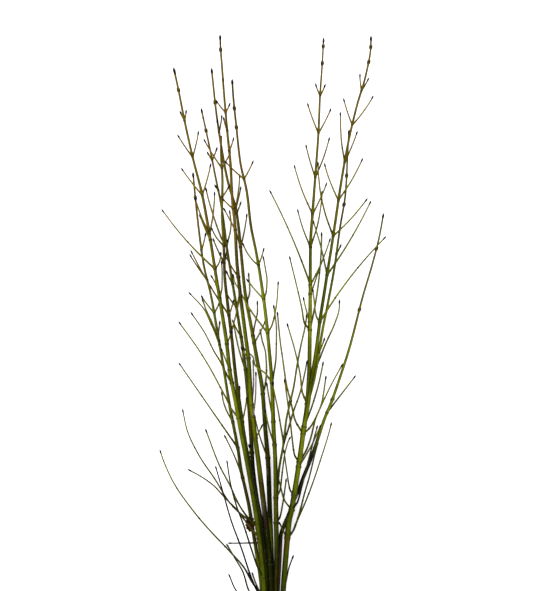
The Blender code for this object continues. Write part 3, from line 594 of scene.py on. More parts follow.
# %% Settle the twigs
SPREAD = math.radians(30)  # between a twig and its stem
LONGEST_DEPTH = 45  # furthest that a twig leans out of the drawing
CLEAR = 0.55  # room left between two stems' wood
TURNS = (1, 0.75, 1.3, 0.5, 1.6, 0.25, -0.5, -1, -1.5, 0, 2, -2, 2.6, -2.6)  # leans tried for each twig
OWN_ROOM = 10  # a twig is fused to its own stem, and may touch its sister, up to this far out
REACH = 6  # distance beyond which wood is not looked at for room
LEAF_X, LEAF_HEIGHT, LEAF_Z = -22, 128, 14
LEAF_LONG, LEAF_WIDE = 15, 9
LEAF_CURL = 2.2
LEAF_STOPS = (0, 0.22, 0.45, 0.62, 0.82, 1)  # shares of the leaf's length, with its half width at each
LEAF_HALVES = (0.18, 0.75, 1.0, 0.7, 0.95, 0.35)


def leaf_rows():
    """Centre points of the leaf scrap as rows across it, from its stalk end to its torn end."""
    rows = []
    for along, half_width in zip(LEAF_STOPS, LEAF_HALVES):
        across = np.array([-1, -0.45, 0.1, 0.6, 1]) * half_width
        x = LEAF_X + across * LEAF_WIDE / 2
        z = LEAF_Z + LEAF_CURL * across**2 + 0.8 * math.sin(5 * along)
        rows.append(np.stack([x, np.full(5, LEAF_HEIGHT + along * LEAF_LONG), z], axis=-1))
    return rows


def lean(shoot, root, tip):
    """How far a twig's tip leans out of the drawing, so that it leaves its stem at the spread."""
    along = axis(shoot, [root[1] - 5, root[1] + 5])
    stem = (along[1] - along[0]) / np.linalg.norm(along[1] - along[0])
    chord = np.array([tip[0] - root[0], tip[1] - root[1]])
    forward = abs(chord @ stem[:2])
    across = abs(chord[0] * stem[1] - chord[1] * stem[0])
    depth = math.sqrt(max(0.0, (forward * math.tan(SPREAD)) ** 2 - across**2))
    return stem[2] / stem[1] * chord[1], min(depth, LONGEST_DEPTH)


def gap_to(line, others):
    """Least gap between a line of (x, height, z, radius) rows and a cloud of such rows."""
    if not len(line):
        return REACH
    low, high = line[:, :3].min(axis=0) - REACH, line[:, :3].max(axis=0) + REACH
    near = others[np.all((others[:, :3] > low) & (others[:, :3] < high), axis=1)]
    if not len(near):
        return REACH
    apart = np.linalg.norm(line[:, None, :3] - near[None, :, :3], axis=2)
    return float((apart - line[:, None, 3] - near[None, :, 3]).min())


def filled(rings):
    """The rows of a line of rings, with others put in about a square apart."""
    along = so_far(rings[:, :3])
    at = np.linspace(0, along[-1], max(4, int(along[-1])))
    return np.column_stack([np.interp(at, along, column) for column in rings.T])


def settle_twigs(leaf):
    """Choose each twig's lean: the natural one, or the first of a few others that clears all other stems.

    The result is {stem: [a twig's rings, ...]}.
    """
    cloud = [(None, leaf)]
    for name, shoots in STEMS.items():
        for shoot in shoots:
            cloud.append((name, filled(shoot_rings(shoot))))
            cloud += [(name, filled(bud)) for height in shoot.buds for bud in bud_rings(shoot, height)]
    chosen = {name: [] for name in STEMS}
    for name, shoots in STEMS.items():
        own = np.empty((0, 4))
        others = np.vstack([rows for owner, rows in cloud if owner != name])
        for shoot in shoots:
            levels = sorted({twig[0] for twig in shoot.twigs})
            for height, tip_x, tip_height, *bend in shoot.twigs:
                root = axis(shoot, [height])[0]
                ahead, depth = lean(shoot, root, (tip_x, tip_height))
                side = 1 if (tip_x < root[0]) == (levels.index(height) % 2 == 0) else -1
                tries = []
                for turn in TURNS:
                    tip = np.array([tip_x, tip_height, root[2] + ahead + side * depth * turn])
                    rings = twig_rings(root, tip, bend[0] if bend else None)
                    rows = filled(rings)
                    far = rows[np.linalg.norm(rows[:, :3] - root, axis=1) > OWN_ROOM]
                    tries.append((min(gap_to(rows, others), gap_to(far, own)), rings, rows))
                    if tries[-1][0] > CLEAR:
                        break
                gap, rings, rows = max(tries, key=lambda each: each[0])
                cloud.append((name, rows))
                own = np.vstack([own, rows])
                chosen[name].append(rings)
    return chosen


leaf_cloud = np.column_stack([np.vstack(leaf_rows()), np.full(30, 1.3)])
twig_places = settle_twigs(leaf_cloud)
print("twigs settled:", sum(len(rings) for rings in twig_places.values()))

# %% [markdown]
# ## Colours of the bark
# The bark is yellow-green. In the foot of the bunch, where shade falls between the packed stems, it is painted near
# black as painted shade, and is moss green that is partly its own colour and partly painted shade. Stretches lower on
# some stems that lie in shade among the others are painted near black as well. Towards the tips it warms to gold and
# brown, more on some stems than on others. Twigs are brown and olive low down, take their stem's colour higher up,
# and a few old ones are nearly black. Buds and the rims of nodes are dark purple-brown. Some stems also have a patch
# on
# one side: most are worn or stained bark, and the near-black ones are painted shade on a side that lies in shade. The
# colours are laid on the mesh as an attribute, so one material can serve all the stems.

# %% Mix the bark colours
# Painted shade: a near-black tone for bark at the foot of the bunch and on other stretches that lie in shade among
# the stems.
PAINTED_SHADE_TONE = (0.011, 0.014, 0.0002)
MOSS = (0.036, 0.048, 0.0003)
FERN = (0.066, 0.084, 0.0004)
GREEN = (0.110, 0.132, 0.0005)
FRESH = (0.155, 0.185, 0.001)
LIME = (0.205, 0.235, 0.003)
OLIVE = (0.125, 0.120, 0.0006)
GOLD = (0.148, 0.108, 0.001)
TAN = (0.152, 0.094, 0.002)
BROWN = (0.080, 0.058, 0.002)
UMBER = (0.045, 0.038, 0.001)
RUST = (0.135, 0.070, 0.004)
DUSK = (0.024, 0.011, 0.007)
RUSSET = (0.050, 0.022, 0.010)
ASH = (0.100, 0.085, 0.085)
CLAY = (0.160, 0.095, 0.055)
STRAW = (0.420, 0.235, 0.003)
DUST = (0.300, 0.240, 0.240)
NEAR_BLACK = (0.010, 0.009, 0.008)
PLUM = (0.018, 0.010, 0.014)

# The near-black tone at each stem's foot and on its shaded stretches is painted shade.
BARK_TONES = {  # (height, colour) from the foot up, by stem, or by stem and number of a later shoot
    "cane_1": [(40, PAINTED_SHADE_TONE), (70, FERN), (190, FERN), (225, GREEN), (262, FRESH), (300, GREEN), (345, GREEN),
        (385, OLIVE), (440, GOLD), (540, GOLD), (592, TAN)],
    "cane_2": [(40, PAINTED_SHADE_TONE), (75, FERN), (95, GREEN), (115, MOSS), (135, UMBER), (178, UMBER), (205, MOSS),
        (260, GREEN), (350, GREEN), (390, GOLD), (488, TAN)],
    "cane_3": [(40, PAINTED_SHADE_TONE), (130, PAINTED_SHADE_TONE), (195, PAINTED_SHADE_TONE), (215, MOSS), (228, BROWN), (248, BROWN), (265, FERN),
        (390, OLIVE), (450, GOLD), (552, TAN)],
    "cane_4": [(40, PAINTED_SHADE_TONE), (105, PAINTED_SHADE_TONE), (115, GREEN), (130, GREEN), (143, PAINTED_SHADE_TONE), (192, PAINTED_SHADE_TONE), (204, UMBER),
        (228, UMBER), (240, MOSS), (258, FERN), (295, GREEN), (370, OLIVE), (430, BROWN), (475, GOLD), (592, TAN)],
    "cane_5": [(40, PAINTED_SHADE_TONE), (125, PAINTED_SHADE_TONE), (140, DUSK), (160, UMBER), (178, UMBER), (190, FERN), (230, GREEN),
        (260, FRESH), (278, GREEN), (297, FERN), (316, GREEN), (335, GREEN), (365, UMBER), (385, BROWN), (405, BROWN),
        (435, TAN), (600, TAN), (625, BROWN)],
    "cane_6": [(40, PAINTED_SHADE_TONE), (85, MOSS), (115, PAINTED_SHADE_TONE), (130, PAINTED_SHADE_TONE), (150, FERN), (190, FERN), (225, GREEN), (262, FERN),
        (300, BROWN), (400, BROWN), (440, OLIVE), (480, GOLD), (524, RUST)],
    "cane_7": [(40, PAINTED_SHADE_TONE), (90, PAINTED_SHADE_TONE), (120, MOSS), (160, FERN), (190, FERN), (225, GREEN), (310, GREEN), (355, LIME),
        (390, GREEN), (415, OLIVE), (435, BROWN), (465, GOLD), (500, TAN), (581, BROWN)],
    "cane_8": [(40, PAINTED_SHADE_TONE), (80, MOSS), (115, FERN), (160, FERN), (185, FRESH), (262, FRESH), (290, FERN),
        (312, GREEN), (330, LIME), (362, LIME), (395, FERN), (430, OLIVE), (520, GOLD), (622, TAN)],
    ("cane_8", 1): [(236, FRESH), (262, GREEN), (281, MOSS), (300, GREEN), (320, GREEN), (348, FERN), (386, FERN),
        (421, OLIVE), (520, GOLD), (622, TAN)],
    ("cane_8", 2): [(262, OLIVE), (282, GREEN), (305, LIME), (345, LIME), (375, GREEN), (412, GREEN), (440, BROWN),
        (482, GOLD), (531, GOLD)],
    # cane_9's near-black stretches low down, from 85 to 110 and from 158 to 205, are its own dark bark and also
    # painted shade where it lies in the shade of the bunch.
    "cane_9": [(40, PAINTED_SHADE_TONE), (85, DUSK), (110, DUSK), (125, PAINTED_SHADE_TONE), (145, MOSS), (158, NEAR_BLACK), (205, NEAR_BLACK), (235, FRESH),
        (300, FRESH), (340, OLIVE), (447, OLIVE)],
}
UPPER_TWIGS = 330  # height from which twigs take their stem's colour
TWIG_BARK = [(60, BROWN), (110, FERN), (180, OLIVE), (UPPER_TWIGS, OLIVE)]  # and their own below it
TWIG_TONES = {  # by stem, root height and tip x: the colours at the twig's root and tip
    ("cane_1", 117.5, -45): (DUSK, PLUM),
    ("cane_1", 82, -45.2): (MOSS, DUSK),
    ("cane_1", 122, -85): (BROWN, OLIVE),
    ("cane_2", 66, -112.6): (NEAR_BLACK, LIME),
    ("cane_2", 58, -56.7): (NEAR_BLACK, NEAR_BLACK),
    ("cane_2", 51, -46): (NEAR_BLACK, BROWN),
    ("cane_2", 46, -43.7): (NEAR_BLACK, NEAR_BLACK),
    ("cane_4", 324, -14.7): (RUST, GOLD),
    ("cane_5", 255, -19.1): (DUST, DUST),
    ("cane_5", 243, -16.2): (DUST, DUST),
    ("cane_7", 277, -30.5): (LIME, LIME),
    ("cane_8", 125, 46.4): (BROWN, OLIVE),
    ("cane_8", 150, 45.6): (NEAR_BLACK, BROWN),
    ("cane_8", 62, 21.8): (NEAR_BLACK, NEAR_BLACK),
}
# Patches in the near-black tone are painted shade on the shaded side of a stem; the others are stains and worn bark.
PATCHES = {  # on a stem's first shoot: height, half length, turn from its right side and half width (radians)
    "cane_1": [(276, 14, 0.7, 0.6, BROWN), (183, 22, 2.7, 0.7, BROWN), (110, 14, 2.6, 0.7, BROWN)],
    "cane_4": [(188, 4, 2.8, 0.8, CLAY), (165, 20, 0.2, 0.6, PAINTED_SHADE_TONE)],
    "cane_5": [(190, 9, 0.45, 0.5, STRAW), (155, 9, 2.3, 0.35, ASH), (225, 18, 2.7, 0.4, UMBER)],
    "cane_7": [(155, 14, 2.3, 0.6, BROWN), (75, 22, 1.2, 0.9, UMBER)],
    "cane_8": [(288, 18, 0.9, 0.5, BROWN), (117, 9, 1.8, 1.2, BROWN), (150, 8, 2.7, 0.6, PAINTED_SHADE_TONE)],
    "cane_9": [(95, 18, 1.4, 0.8, RUSSET)],
}
SMALL_MARKS = {"cane_1": [586], "cane_3": [542], "cane_5": [579]}  # heights of dark rings without buds


def tone_at(marks, heights):
    """The colour at the given heights between (height, colour) marks, as rows of red, green and blue."""
    stops, tones = zip(*marks)
    return np.column_stack([np.interp(heights, stops, channel) for channel in zip(*tones)])


def bark_tone(name, heights, branch=0):
    """The colour of a stem, or of one of its later shoots, at the given heights."""
    return tone_at(BARK_TONES.get((name, branch), BARK_TONES[name]), heights)


def plum(colours, dark):
    """Colours turned dark purple-brown by a share."""
    return colours * (1 - dark) + np.array(PLUM) * dark


print("bark half way up:", {name: bark_tone(name, [300]).round(2).tolist()[0] for name in STEMS})

# %% [markdown]
# ## Skin on a line
# Every piece of wood here is a skin round a line: rings of points, each joined to the next by four-sided faces. The
# rings also carry what the material needs. One value is the colour, with painted light and shade in it: each ring is
# painted bright on the side towards the lamps and dark on its flanks and underside. Another is the place on the bark
# as if the stem had been straightened out, so that streaks run along it and meet all the way round.

# %% Wrap a skin round a line
Skin = namedtuple("Skin", "points faces colours places look")  # look is the number of the piece's material
BARK, BUD, CUT = range(3)
# Painted light and shade: each ring is painted brighter on the side that faces these ways, as the lamps light it, and
# dark on its flanks and underside.
PAINTED_LIGHT_FROM_LEFT, PAINTED_LIGHT_FROM_RIGHT = (-0.30, 0.0, 0.954), (0.30, 0.0, 0.954)  # ways that the brighter side of the bark faces
STEMS_PAINTED_LIT_FROM_RIGHT = ("cane_8", "cane_9")  # stems at the right of the bunch
PAINTED_SHADE_FAR_SIDE = 0.07  # how bright the bark is on its far side, as a share of its sunny side
PAINTED_LIGHT_FOCUS = 1.8
SEED_STEP = 0.37  # metres between the places of two stems in the textures


def round_turns(sides):
    """The turns of the corners of a ring."""
    return 2 * np.pi * np.arange(sides) / sides


def bearings(line, sideways):
    """The ways right and up at each point of a line, which never runs along sideways."""
    way = np.gradient(line, axis=0)
    way /= np.linalg.norm(way, axis=1)[:, None]
    right = np.cross(way, sideways)
    right /= np.linalg.norm(right, axis=1)[:, None]
    return right, np.cross(right, way)


def skin(line, radii, colours, sides, seed, look=BARK, ridges=0.0, butt=False, sideways=(0, 0, 1), painted_light_way=PAINTED_LIGHT_FROM_LEFT):
    """A closed skin round a line of grid points. Radii are in squares, and seed moves its place in the textures. Its
    colours get painted light and shade: brighter on the side that faces the given way of the light, darker away from
    it.
    """
    line, radii = np.asarray(line, float), np.asarray(radii, float)
    right, up = bearings(line, sideways)
    along = so_far(line)
    turn = round_turns(sides)
    uneven = 1 + ridges * (np.sin(2 * turn[None, :] + along[:, None] / 17 + seed)
                           + 0.6 * np.sin(3 * turn[None, :] - along[:, None] / 11 + 2 * seed))
    reach = radii[:, None] * uneven
    spokes = np.cos(turn)[None, :, None] * right[:, None] + np.sin(turn)[None, :, None] * up[:, None]
    points = line[:, None] + reach[..., None] * spokes
    places = np.stack([reach * np.cos(turn), reach * np.sin(turn), np.repeat(along[:, None], sides, 1)], axis=-1)
    count = len(line)
    here = np.arange(count - 1)[:, None] * sides + np.arange(sides)
    after = np.arange(count - 1)[:, None] * sides + (np.arange(sides) + 1) % sides
    faces = np.stack([here, after, after + sides, here + sides], axis=-1).reshape(-1, 4).tolist()
    faces.append(list(range((count - 1) * sides, count * sides)))
    if not butt:
        faces.append(list(range(sides - 1, -1, -1)))
    # Painted light and shade: each corner of a ring is painted darker the further it turns from the way of the light.
    painted_light_share = PAINTED_SHADE_FAR_SIDE + (1 - PAINTED_SHADE_FAR_SIDE) * np.clip(spokes @ np.array(painted_light_way), 0, 1) ** PAINTED_LIGHT_FOCUS
    if np.ndim(colours) < 3:
        colours = np.broadcast_to(colours, (count, 3))[:, None]
    colours = colours * painted_light_share[..., None]
    return Skin(points.reshape(-1, 3), faces, colours.reshape(-1, 3),
                places.reshape(-1, 3) * SQUARE + (0, 0, SEED_STEP * seed), look)


test_skin = skin([(0, 0, 0), (0, 1, 0), (0, 2, 0)], [1, 1, 1], OLIVE, 8, 1)
print("three rings of eight make", len(test_skin.faces), "faces")

# %% [markdown]
# ## Fine rings along a stem
# The detailed skin follows the same line as the solid, with a ring every 2 mm and closer ones at each node. The
# node's collar is a low ridge where the old leaf stalks joined round the stem, with a groove just above it. The end
# bud is a pair of scales pressed together into a point.

# %% Shape the bark of a stem
FINE_RINGS = 1.3
COLLAR = 0.07  # how far the collar stands out, as a share of the radius
BUD_BELLY = 0.35  # how far a bud swells, as a share of its stalk's radius
BARK_SIDES = 18
BARK_RIDGES = 0.022  # how uneven a stem's rings are, as a share of the radius
RIM_HEIGHTS, RIM_DARK = (150, 400), (0.35, 0.85)  # how dark the nodes' rims are, low and high on the stem


def fine_heights(shoot):
    """Heights of a stem's fine rings, with more of them at its nodes and in its end bud."""
    foot, top = ends(shoot)
    spots = [np.arange(foot, top, FINE_RINGS), [top]]
    spots += [node + np.linspace(-2.6, 2.0, 20) for node in nodes(shoot)]
    if not shoot.blunt:
        spots.append(top - TERMINAL_BUD * np.linspace(0, 1.15, 22))
    heights = np.unique(np.concatenate(spots).round(3))
    heights = heights[(heights >= foot) & (heights <= top)]
    return heights[np.concatenate([[True], np.diff(heights) > 0.06])]


def bud_shape(below_top):
    """A pointed bud's radius as a share of its stalk's, from its tip (0) to its foot (1)."""
    rise = np.sin(np.clip(below_top / 0.62, 0, 1) * np.pi / 2) ** 0.75
    belly = BUD_BELLY * np.clip(1 - ((below_top - 0.55) / 0.42) ** 2, 0, 1)
    return np.where(below_top < 1, np.maximum(0.04, rise * (1 + belly)), 1)


def stem_skin(name, shoot, seed):
    """The fine bark of one shoot, from its foot to the tip of its end bud."""
    heights = fine_heights(shoot)
    branch = STEMS[name].index(shoot)
    marks = nodes(shoot) + (SMALL_MARKS.get(name, []) if branch == 0 else [])
    off = np.array([heights - node for node in marks])
    near = np.abs(off).argmin(axis=0)
    off = off[near, np.arange(len(heights))]
    swell = NODE_SWELL * np.exp(-((off / (NODE_REACH * 0.6)) ** 2)) * openness(heights)
    swell += COLLAR * np.exp(-(((off - 0.5) / 0.32) ** 2)) - 0.05 * np.exp(-(((off - 1.15) / 0.3) ** 2))
    radii = girth(shoot, heights) * (1 + swell)
    rim = np.exp(-(((off - 0.3) / 0.75) ** 2)) * np.interp(heights, RIM_HEIGHTS, RIM_DARK)
    colours = plum(bark_tone(name, heights, branch), rim[:, None])
    if not shoot.blunt:
        below = (ends(shoot)[1] - heights) / TERMINAL_BUD
        radii *= bud_shape(below)
        colours = plum(colours, np.clip((1.1 - below) / 0.2, 0, 1)[:, None])
    colours = np.repeat(colours[:, None], BARK_SIDES, axis=1)
    # Patches on one side: stains and worn bark, and painted shade where the patch is near black.
    for height, half_length, middle, half_width, colour in PATCHES.get(name, []) if branch == 0 else []:
        off = (round_turns(BARK_SIDES) - middle + np.pi) % (2 * np.pi) - np.pi
        cover = np.exp(-(((heights - height) / half_length) ** 4))[:, None] * np.exp(-((off / half_width) ** 2))
        colours = colours + cover[..., None] * (np.array(colour) - colours)
    # Stems at the right of the bunch get their painted light from the right.
    painted_light_way = PAINTED_LIGHT_FROM_RIGHT if name in STEMS_PAINTED_LIT_FROM_RIGHT else PAINTED_LIGHT_FROM_LEFT
    return skin(axis(shoot, heights), radii, colours, BARK_SIDES, seed, ridges=BARK_RIDGES, butt=True, painted_light_way=painted_light_way)


trial = stem_skin("cane_8", STEMS["cane_8"][0], 1)
print("one stem has", len(trial.faces), "faces")

# %% [markdown]
# ## Fine twigs
# A twig keeps the way that was settled for it. It has a flared foot where it grows out of the node, small nodes of
# its own about every 60 mm, and a dark bud at its tip.

# %% Shape the twigs
TWIG_NODES = 38  # squares between the nodes of a long twig
TWIG_SIDES = 9
TWIG_FINE = 1.6  # squares between a twig's rings
# Painted light and shade on the twigs: each is painted darker at its root, where shade falls by its stem, and lighter
# out along it and higher up, where more light reaches.
TWIG_DIM = 0.5  # how bright a twig is at its root, as a share of its bark's colour
TWIG_LIGHT = 0.35  # how much lighter it is out along it
LIT_FROM, LIT_IN = 140, 160  # height from which twigs are lighter, and the stretch in which they become so
HIGH_LIGHT = 1  # how much lighter the upper twigs are
CHANGE_IN = 60  # the stretch in which twigs change to their stem's colour


def twig_tone(name, rings, heights, share):
    """Colours along a twig: its own, or the low twigs' and higher up its stem's, with painted light making it lighter
    out in the light.
    """
    for (owner, root, tip_x), (low, high) in TWIG_TONES.items():
        if owner == name and abs(rings[0, 1] - root) < 0.01 and abs(rings[-1, 0] - tip_x) < 0.01:
            return np.array(low) + share[:, None] * (np.array(high) - low)
    low = tone_at(TWIG_BARK, heights)
    high = np.clip((heights - UPPER_TWIGS) / CHANGE_IN, 0, 1)[:, None]
    light = TWIG_DIM + TWIG_LIGHT * np.clip(share * 3, 0, 1)
    light = light * (1 + HIGH_LIGHT * np.clip((heights - LIT_FROM) / LIT_IN, 0, 1))
    return (low + high * (bark_tone(name, heights) - low)) * light[:, None]


def twig_skin(name, rings, seed):
    """The fine bark of one twig, through its coarse rings, with its own nodes and its bud."""
    along = so_far(rings[:, :3])
    length = along[-1]
    at = np.unique(np.concatenate([
        np.linspace(0, length, max(6, int(length / TWIG_FINE))),
        length - TWIG_BUD * np.linspace(0, 1.2, 14),
        *[length - TWIG_BUD - TWIG_NODES * n + np.linspace(-1.5, 1.5, 9) for n in range(1, 8)],
    ]).round(3))
    at = at[(at >= 0) & (at <= length)]
    line = smooth_rows(along, rings[:, :3], at)
    share, left = at / length, length - at
    joint = (left - TWIG_BUD) % TWIG_NODES
    joint = np.minimum(joint, TWIG_NODES - joint)
    knuckle = np.where(left > TWIG_BUD + 12, np.exp(-((joint / 0.7) ** 2)), 0)
    radii = plain_radii(length, share) * (1 + NODE_SWELL * knuckle) * bud_shape(left / TWIG_BUD * 0.98)
    line[:, 2] = np.maximum(line[:, 2], radii * 1.02)
    colours = twig_tone(name, rings, line[:, 1], share)
    dark = np.maximum(knuckle * 0.8, np.clip((TWIG_BUD * 1.15 - left) / 1.2, 0, 1))
    colours = plum(colours, np.maximum(dark, 0.5 * np.exp(-at / 1.5))[:, None])
    return skin(line, radii, colours, TWIG_SIDES, seed, ridges=0.02)


trial = twig_skin("cane_8", twig_places["cane_8"][0], 1)
print("a short twig has", len(trial.faces), "faces")

# %% [markdown]
# ## The cut ends
# Secateurs leave a flat face across the wood: a brown pith in the middle, pale wood round it, and a thin green line
# under the bark. A few rings of faces are enough, each with its own colour.

# %% Face the cut ends
PITH = (0.22, 0.13, 0.06)
WOOD = (0.62, 0.56, 0.36)
CAMBIUM = (0.22, 0.28, 0.06)
CUT_RINGS = [(1.0, OLIVE), (0.93, CAMBIUM), (0.84, WOOD), (0.55, WOOD), (0.30, WOOD), (0.22, PITH), (0.02, PITH)]
CUT_DOME = 0.10  # squares by which the middle of a cut stands proud


def cut_face(shoot, height, outward, seed):
    """The flat face where a stem was cut, from the bark in to the pith."""
    middle = axis(shoot, [height])[0]
    radius = float(girth(shoot, height))
    sides = BARK_SIDES
    points, colours, faces = [], [], []
    for step, tone in CUT_RINGS:
        lift = CUT_DOME * (1 - step) * outward
        for a in round_turns(sides):
            points.append(middle + (radius * step * math.cos(a), lift, radius * step * math.sin(a)))
            colours.append(tone)
    for n in range(len(CUT_RINGS) - 1):
        for m in range(sides):
            after = (m + 1) % sides
            faces.append([n * sides + m, n * sides + after, (n + 1) * sides + after, (n + 1) * sides + m])
    faces.append([(len(CUT_RINGS) - 1) * sides + m for m in range(sides)])
    points = np.array(points)
    return Skin(points, faces, np.array(colours), (points - middle) * SQUARE + (0, 0, SEED_STEP * seed), CUT)


print("a cut face has", len(cut_face(STEMS["cane_1"][0], 2, -1, 1).faces), "faces")

# %% [markdown]
# ## The bark's finish
# Young dogwood bark is smooth and a little waxy. Its colour is not even: fine streaks run along it, and small pale
# pores lie scattered over it. The colour comes from the mesh. Noise stretched along the stem makes the streaks, and
# cells with a small middle make the pores. The streaks also move the roughness, and both raise a slight bump, so
# light breaks on them.

# %% Make the bark
BARK_SHINE = 0.02
STREAK_SCALE, STREAK_STRETCH = 900, 0.12  # a lower stretch makes longer streaks
BLOTCH_SCALE, BLOTCH_SHADES = 60, (0.8, 1.2)
PORE_SCALE, PORE_STRETCH, PORE_EDGE = 260, 0.45, (0.20, 0.12)
PORE_PALE = (0.20, 0.17, 0.08)
NOISE_SPAN = (0.3, 0.7)  # most of a noise lies in this span
BUMP_STRENGTH, BUMP_HEIGHT = 0.35, 0.0002


def bark_finish(name, roughness, pores, streaks):
    """A bark material that takes its colour from the mesh."""
    look = bpy.data.materials.new(name)
    look.use_nodes = True
    tree = look.node_tree
    shader = tree.nodes["Principled BSDF"]
    shader.inputs["Specular IOR Level"].default_value = BARK_SHINE

    def node(kind, inputs, **options):
        """The outputs of a new node. Each of its inputs is a value, or an output that is joined to it."""
        made = tree.nodes.new("ShaderNode" + kind)
        for option, value in options.items():
            setattr(made, option, value)
        for socket, value in inputs.items():
            if isinstance(value, bpy.types.NodeSocket):
                tree.links.new(value, made.inputs[socket])
            else:
                made.inputs[socket].default_value = value
        return made.outputs

    def ranged(value, span, shades):
        """A value that goes through the shades as the one put in goes through the span."""
        limits = {"From Min": span[0], "From Max": span[1], "To Min": shades[0], "To Max": shades[1]}
        return node("MapRange", {"Value": value, **limits})["Result"]

    colour = node("Attribute", {}, attribute_name="bark_colour")["Color"]
    place = node("Attribute", {}, attribute_name="bark_place")["Vector"]
    stretched = node("Mapping", {"Vector": place, "Scale": (1, 1, STREAK_STRETCH)})["Vector"]
    streak = node("TexNoise", {"Vector": stretched, "Scale": STREAK_SCALE, "Detail": 3})["Fac"]
    blotch = node("TexNoise", {"Vector": place, "Scale": BLOTCH_SCALE, "Detail": 2})["Fac"]
    shade = ranged(streak, NOISE_SPAN, (1 - streaks, 1 + streaks))
    both = node("Math", {0: shade, 1: ranged(blotch, NOISE_SPAN, BLOTCH_SHADES)}, operation="MULTIPLY")["Value"]
    shaded = node("VectorMath", {0: colour, "Scale": both}, operation="SCALE")["Vector"]

    cells = node("Mapping", {"Vector": place, "Scale": (1, 1, PORE_STRETCH)})["Vector"]
    spot = ranged(node("TexVoronoi", {"Vector": cells, "Scale": PORE_SCALE})["Distance"], PORE_EDGE, (0, pores))
    pale = node("Mix", {"Factor": spot, "A": shaded, "B": (*PORE_PALE, 1)}, data_type="RGBA")["Result"]
    rough = ranged(streak, (0, 1), (roughness - 0.08, roughness + 0.12))
    relief = node("Math", {0: streak, 1: 0.6, 2: spot}, operation="MULTIPLY_ADD")["Value"]
    bump = node("Bump", {"Height": relief, "Strength": BUMP_STRENGTH, "Distance": BUMP_HEIGHT})["Normal"]
    for socket, value in (("Base Color", pale), ("Roughness", rough), ("Normal", bump)):
        tree.links.new(value, shader.inputs[socket])
    return look


bark = bark_finish("dogwood bark", 0.42, 0.30, 0.28)
bud_scales = bark_finish("bud scales", 0.6, 0.0, 0.4)
cut_wood = bark_finish("cut wood", 0.8, 0.0, 0.12)
print("finishes:", bark.name, "/", bud_scales.name, "/", cut_wood.name)

# %% [markdown]
# ## Build the stems
# All the skins of one stem are put into one mesh, which stands for one solid. Their colours and places go with them
# as attributes of the points.

# %% Join the skins of a stem
SHARP_EDGE = math.radians(50)


def build(name, skins, looks):
    """One object from skins, which replaces the solid that its name ends with."""
    points, faces, colours, places, look_numbers = [], [], [], [], []
    start = 0
    for each in skins:
        points.append(in_metres(each.points))
        colours.append(each.colours)
        places.append(each.places)
        faces += [[corner + start for corner in face] for face in each.faces]
        look_numbers += [each.look] * len(each.faces)
        start += len(each.points)
    mesh = bpy.data.meshes.new(name)
    mesh.from_pydata(np.vstack(points).tolist(), [], faces)
    flat = np.column_stack([np.vstack(colours), np.ones(start)]).astype(np.float32).ravel()
    mesh.attributes.new("bark_colour", "FLOAT_COLOR", "POINT").data.foreach_set("color", flat)
    spots = np.vstack(places).astype(np.float32).ravel()
    mesh.attributes.new("bark_place", "FLOAT_VECTOR", "POINT").data.foreach_set("vector", spots)
    for look in looks:
        mesh.materials.append(look)
    mesh.polygons.foreach_set("material_index", look_numbers)
    mesh.shade_smooth()
    mesh.set_sharp_from_angle(angle=SHARP_EDGE)
    mesh.update()
    thing = bpy.data.objects.new(name, mesh)
    bpy.context.scene.collection.objects.link(thing)
    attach(thing, "root")
    return thing


def side_bud_skin(name, shoot, height, seed):
    """A pair of buds pressed against the bark."""
    pair = []
    for rings in bud_rings(shoot, height):
        shares = np.linspace(0, 1, 12)
        line = smooth_rows((0, 0.5, 1), rings[:, :3], shares)
        line[:, 0] -= (line[:, 0] - axis(shoot, line[:, 1])[:, 0]) * 0.3 * shares
        radii = 0.58 * np.sin(np.clip(0.25 + shares * 0.75, 0, 1) * np.pi) ** 0.7 + 0.02
        radii[-1] = 0.03
        colours = plum(bark_tone(name, line[:, 1]), np.clip(0.6 + shares, 0, 1)[:, None])
        pair.append(skin(line, radii, colours, 10, seed, look=BUD))
    return pair


for seed, (name, shoots) in enumerate(STEMS.items()):
    skins = []
    for shoot in shoots:
        skins.append(stem_skin(name, shoot, seed))
        for height in shoot.buds:
            skins += side_bud_skin(name, shoot, height, seed)
    skins.append(cut_face(shoots[0], ends(shoots[0])[0], -1, seed))
    if shoots[0].blunt:
        skins.append(cut_face(shoots[0], ends(shoots[0])[1], 1, seed))
    skins += [twig_skin(name, rings, seed + 0.1 * n) for n, rings in enumerate(twig_places[name])]
    build("bark_" + name, skins, [bark, bud_scales, cut_wood])
    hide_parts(name)

# %% [markdown]
# ## The twine
# The bunch is held by five turns of jute twine. Twine is three strands twisted round each other, so each strand is
# its own thin skin that winds round the twine's middle line as that winds round the bunch.

# %% Wind the twine
TIE_WIDTH = 0.0128
TIE_THICKNESS = 0.0024
TIE_GAP = 0.0004  # between the tie and the stems in it
TWINE_RADIUS = 0.0012
KNOT_X = -2.6
TWINE_TURNS = 5
TWIST = 5.5  # squares that a strand takes to go once round the twine
STRAND_STEP = 0.45  # squares between a strand's rings
OUTLINE_STEPS = 24
JUTE = (0.46, 0.33, 0.17)


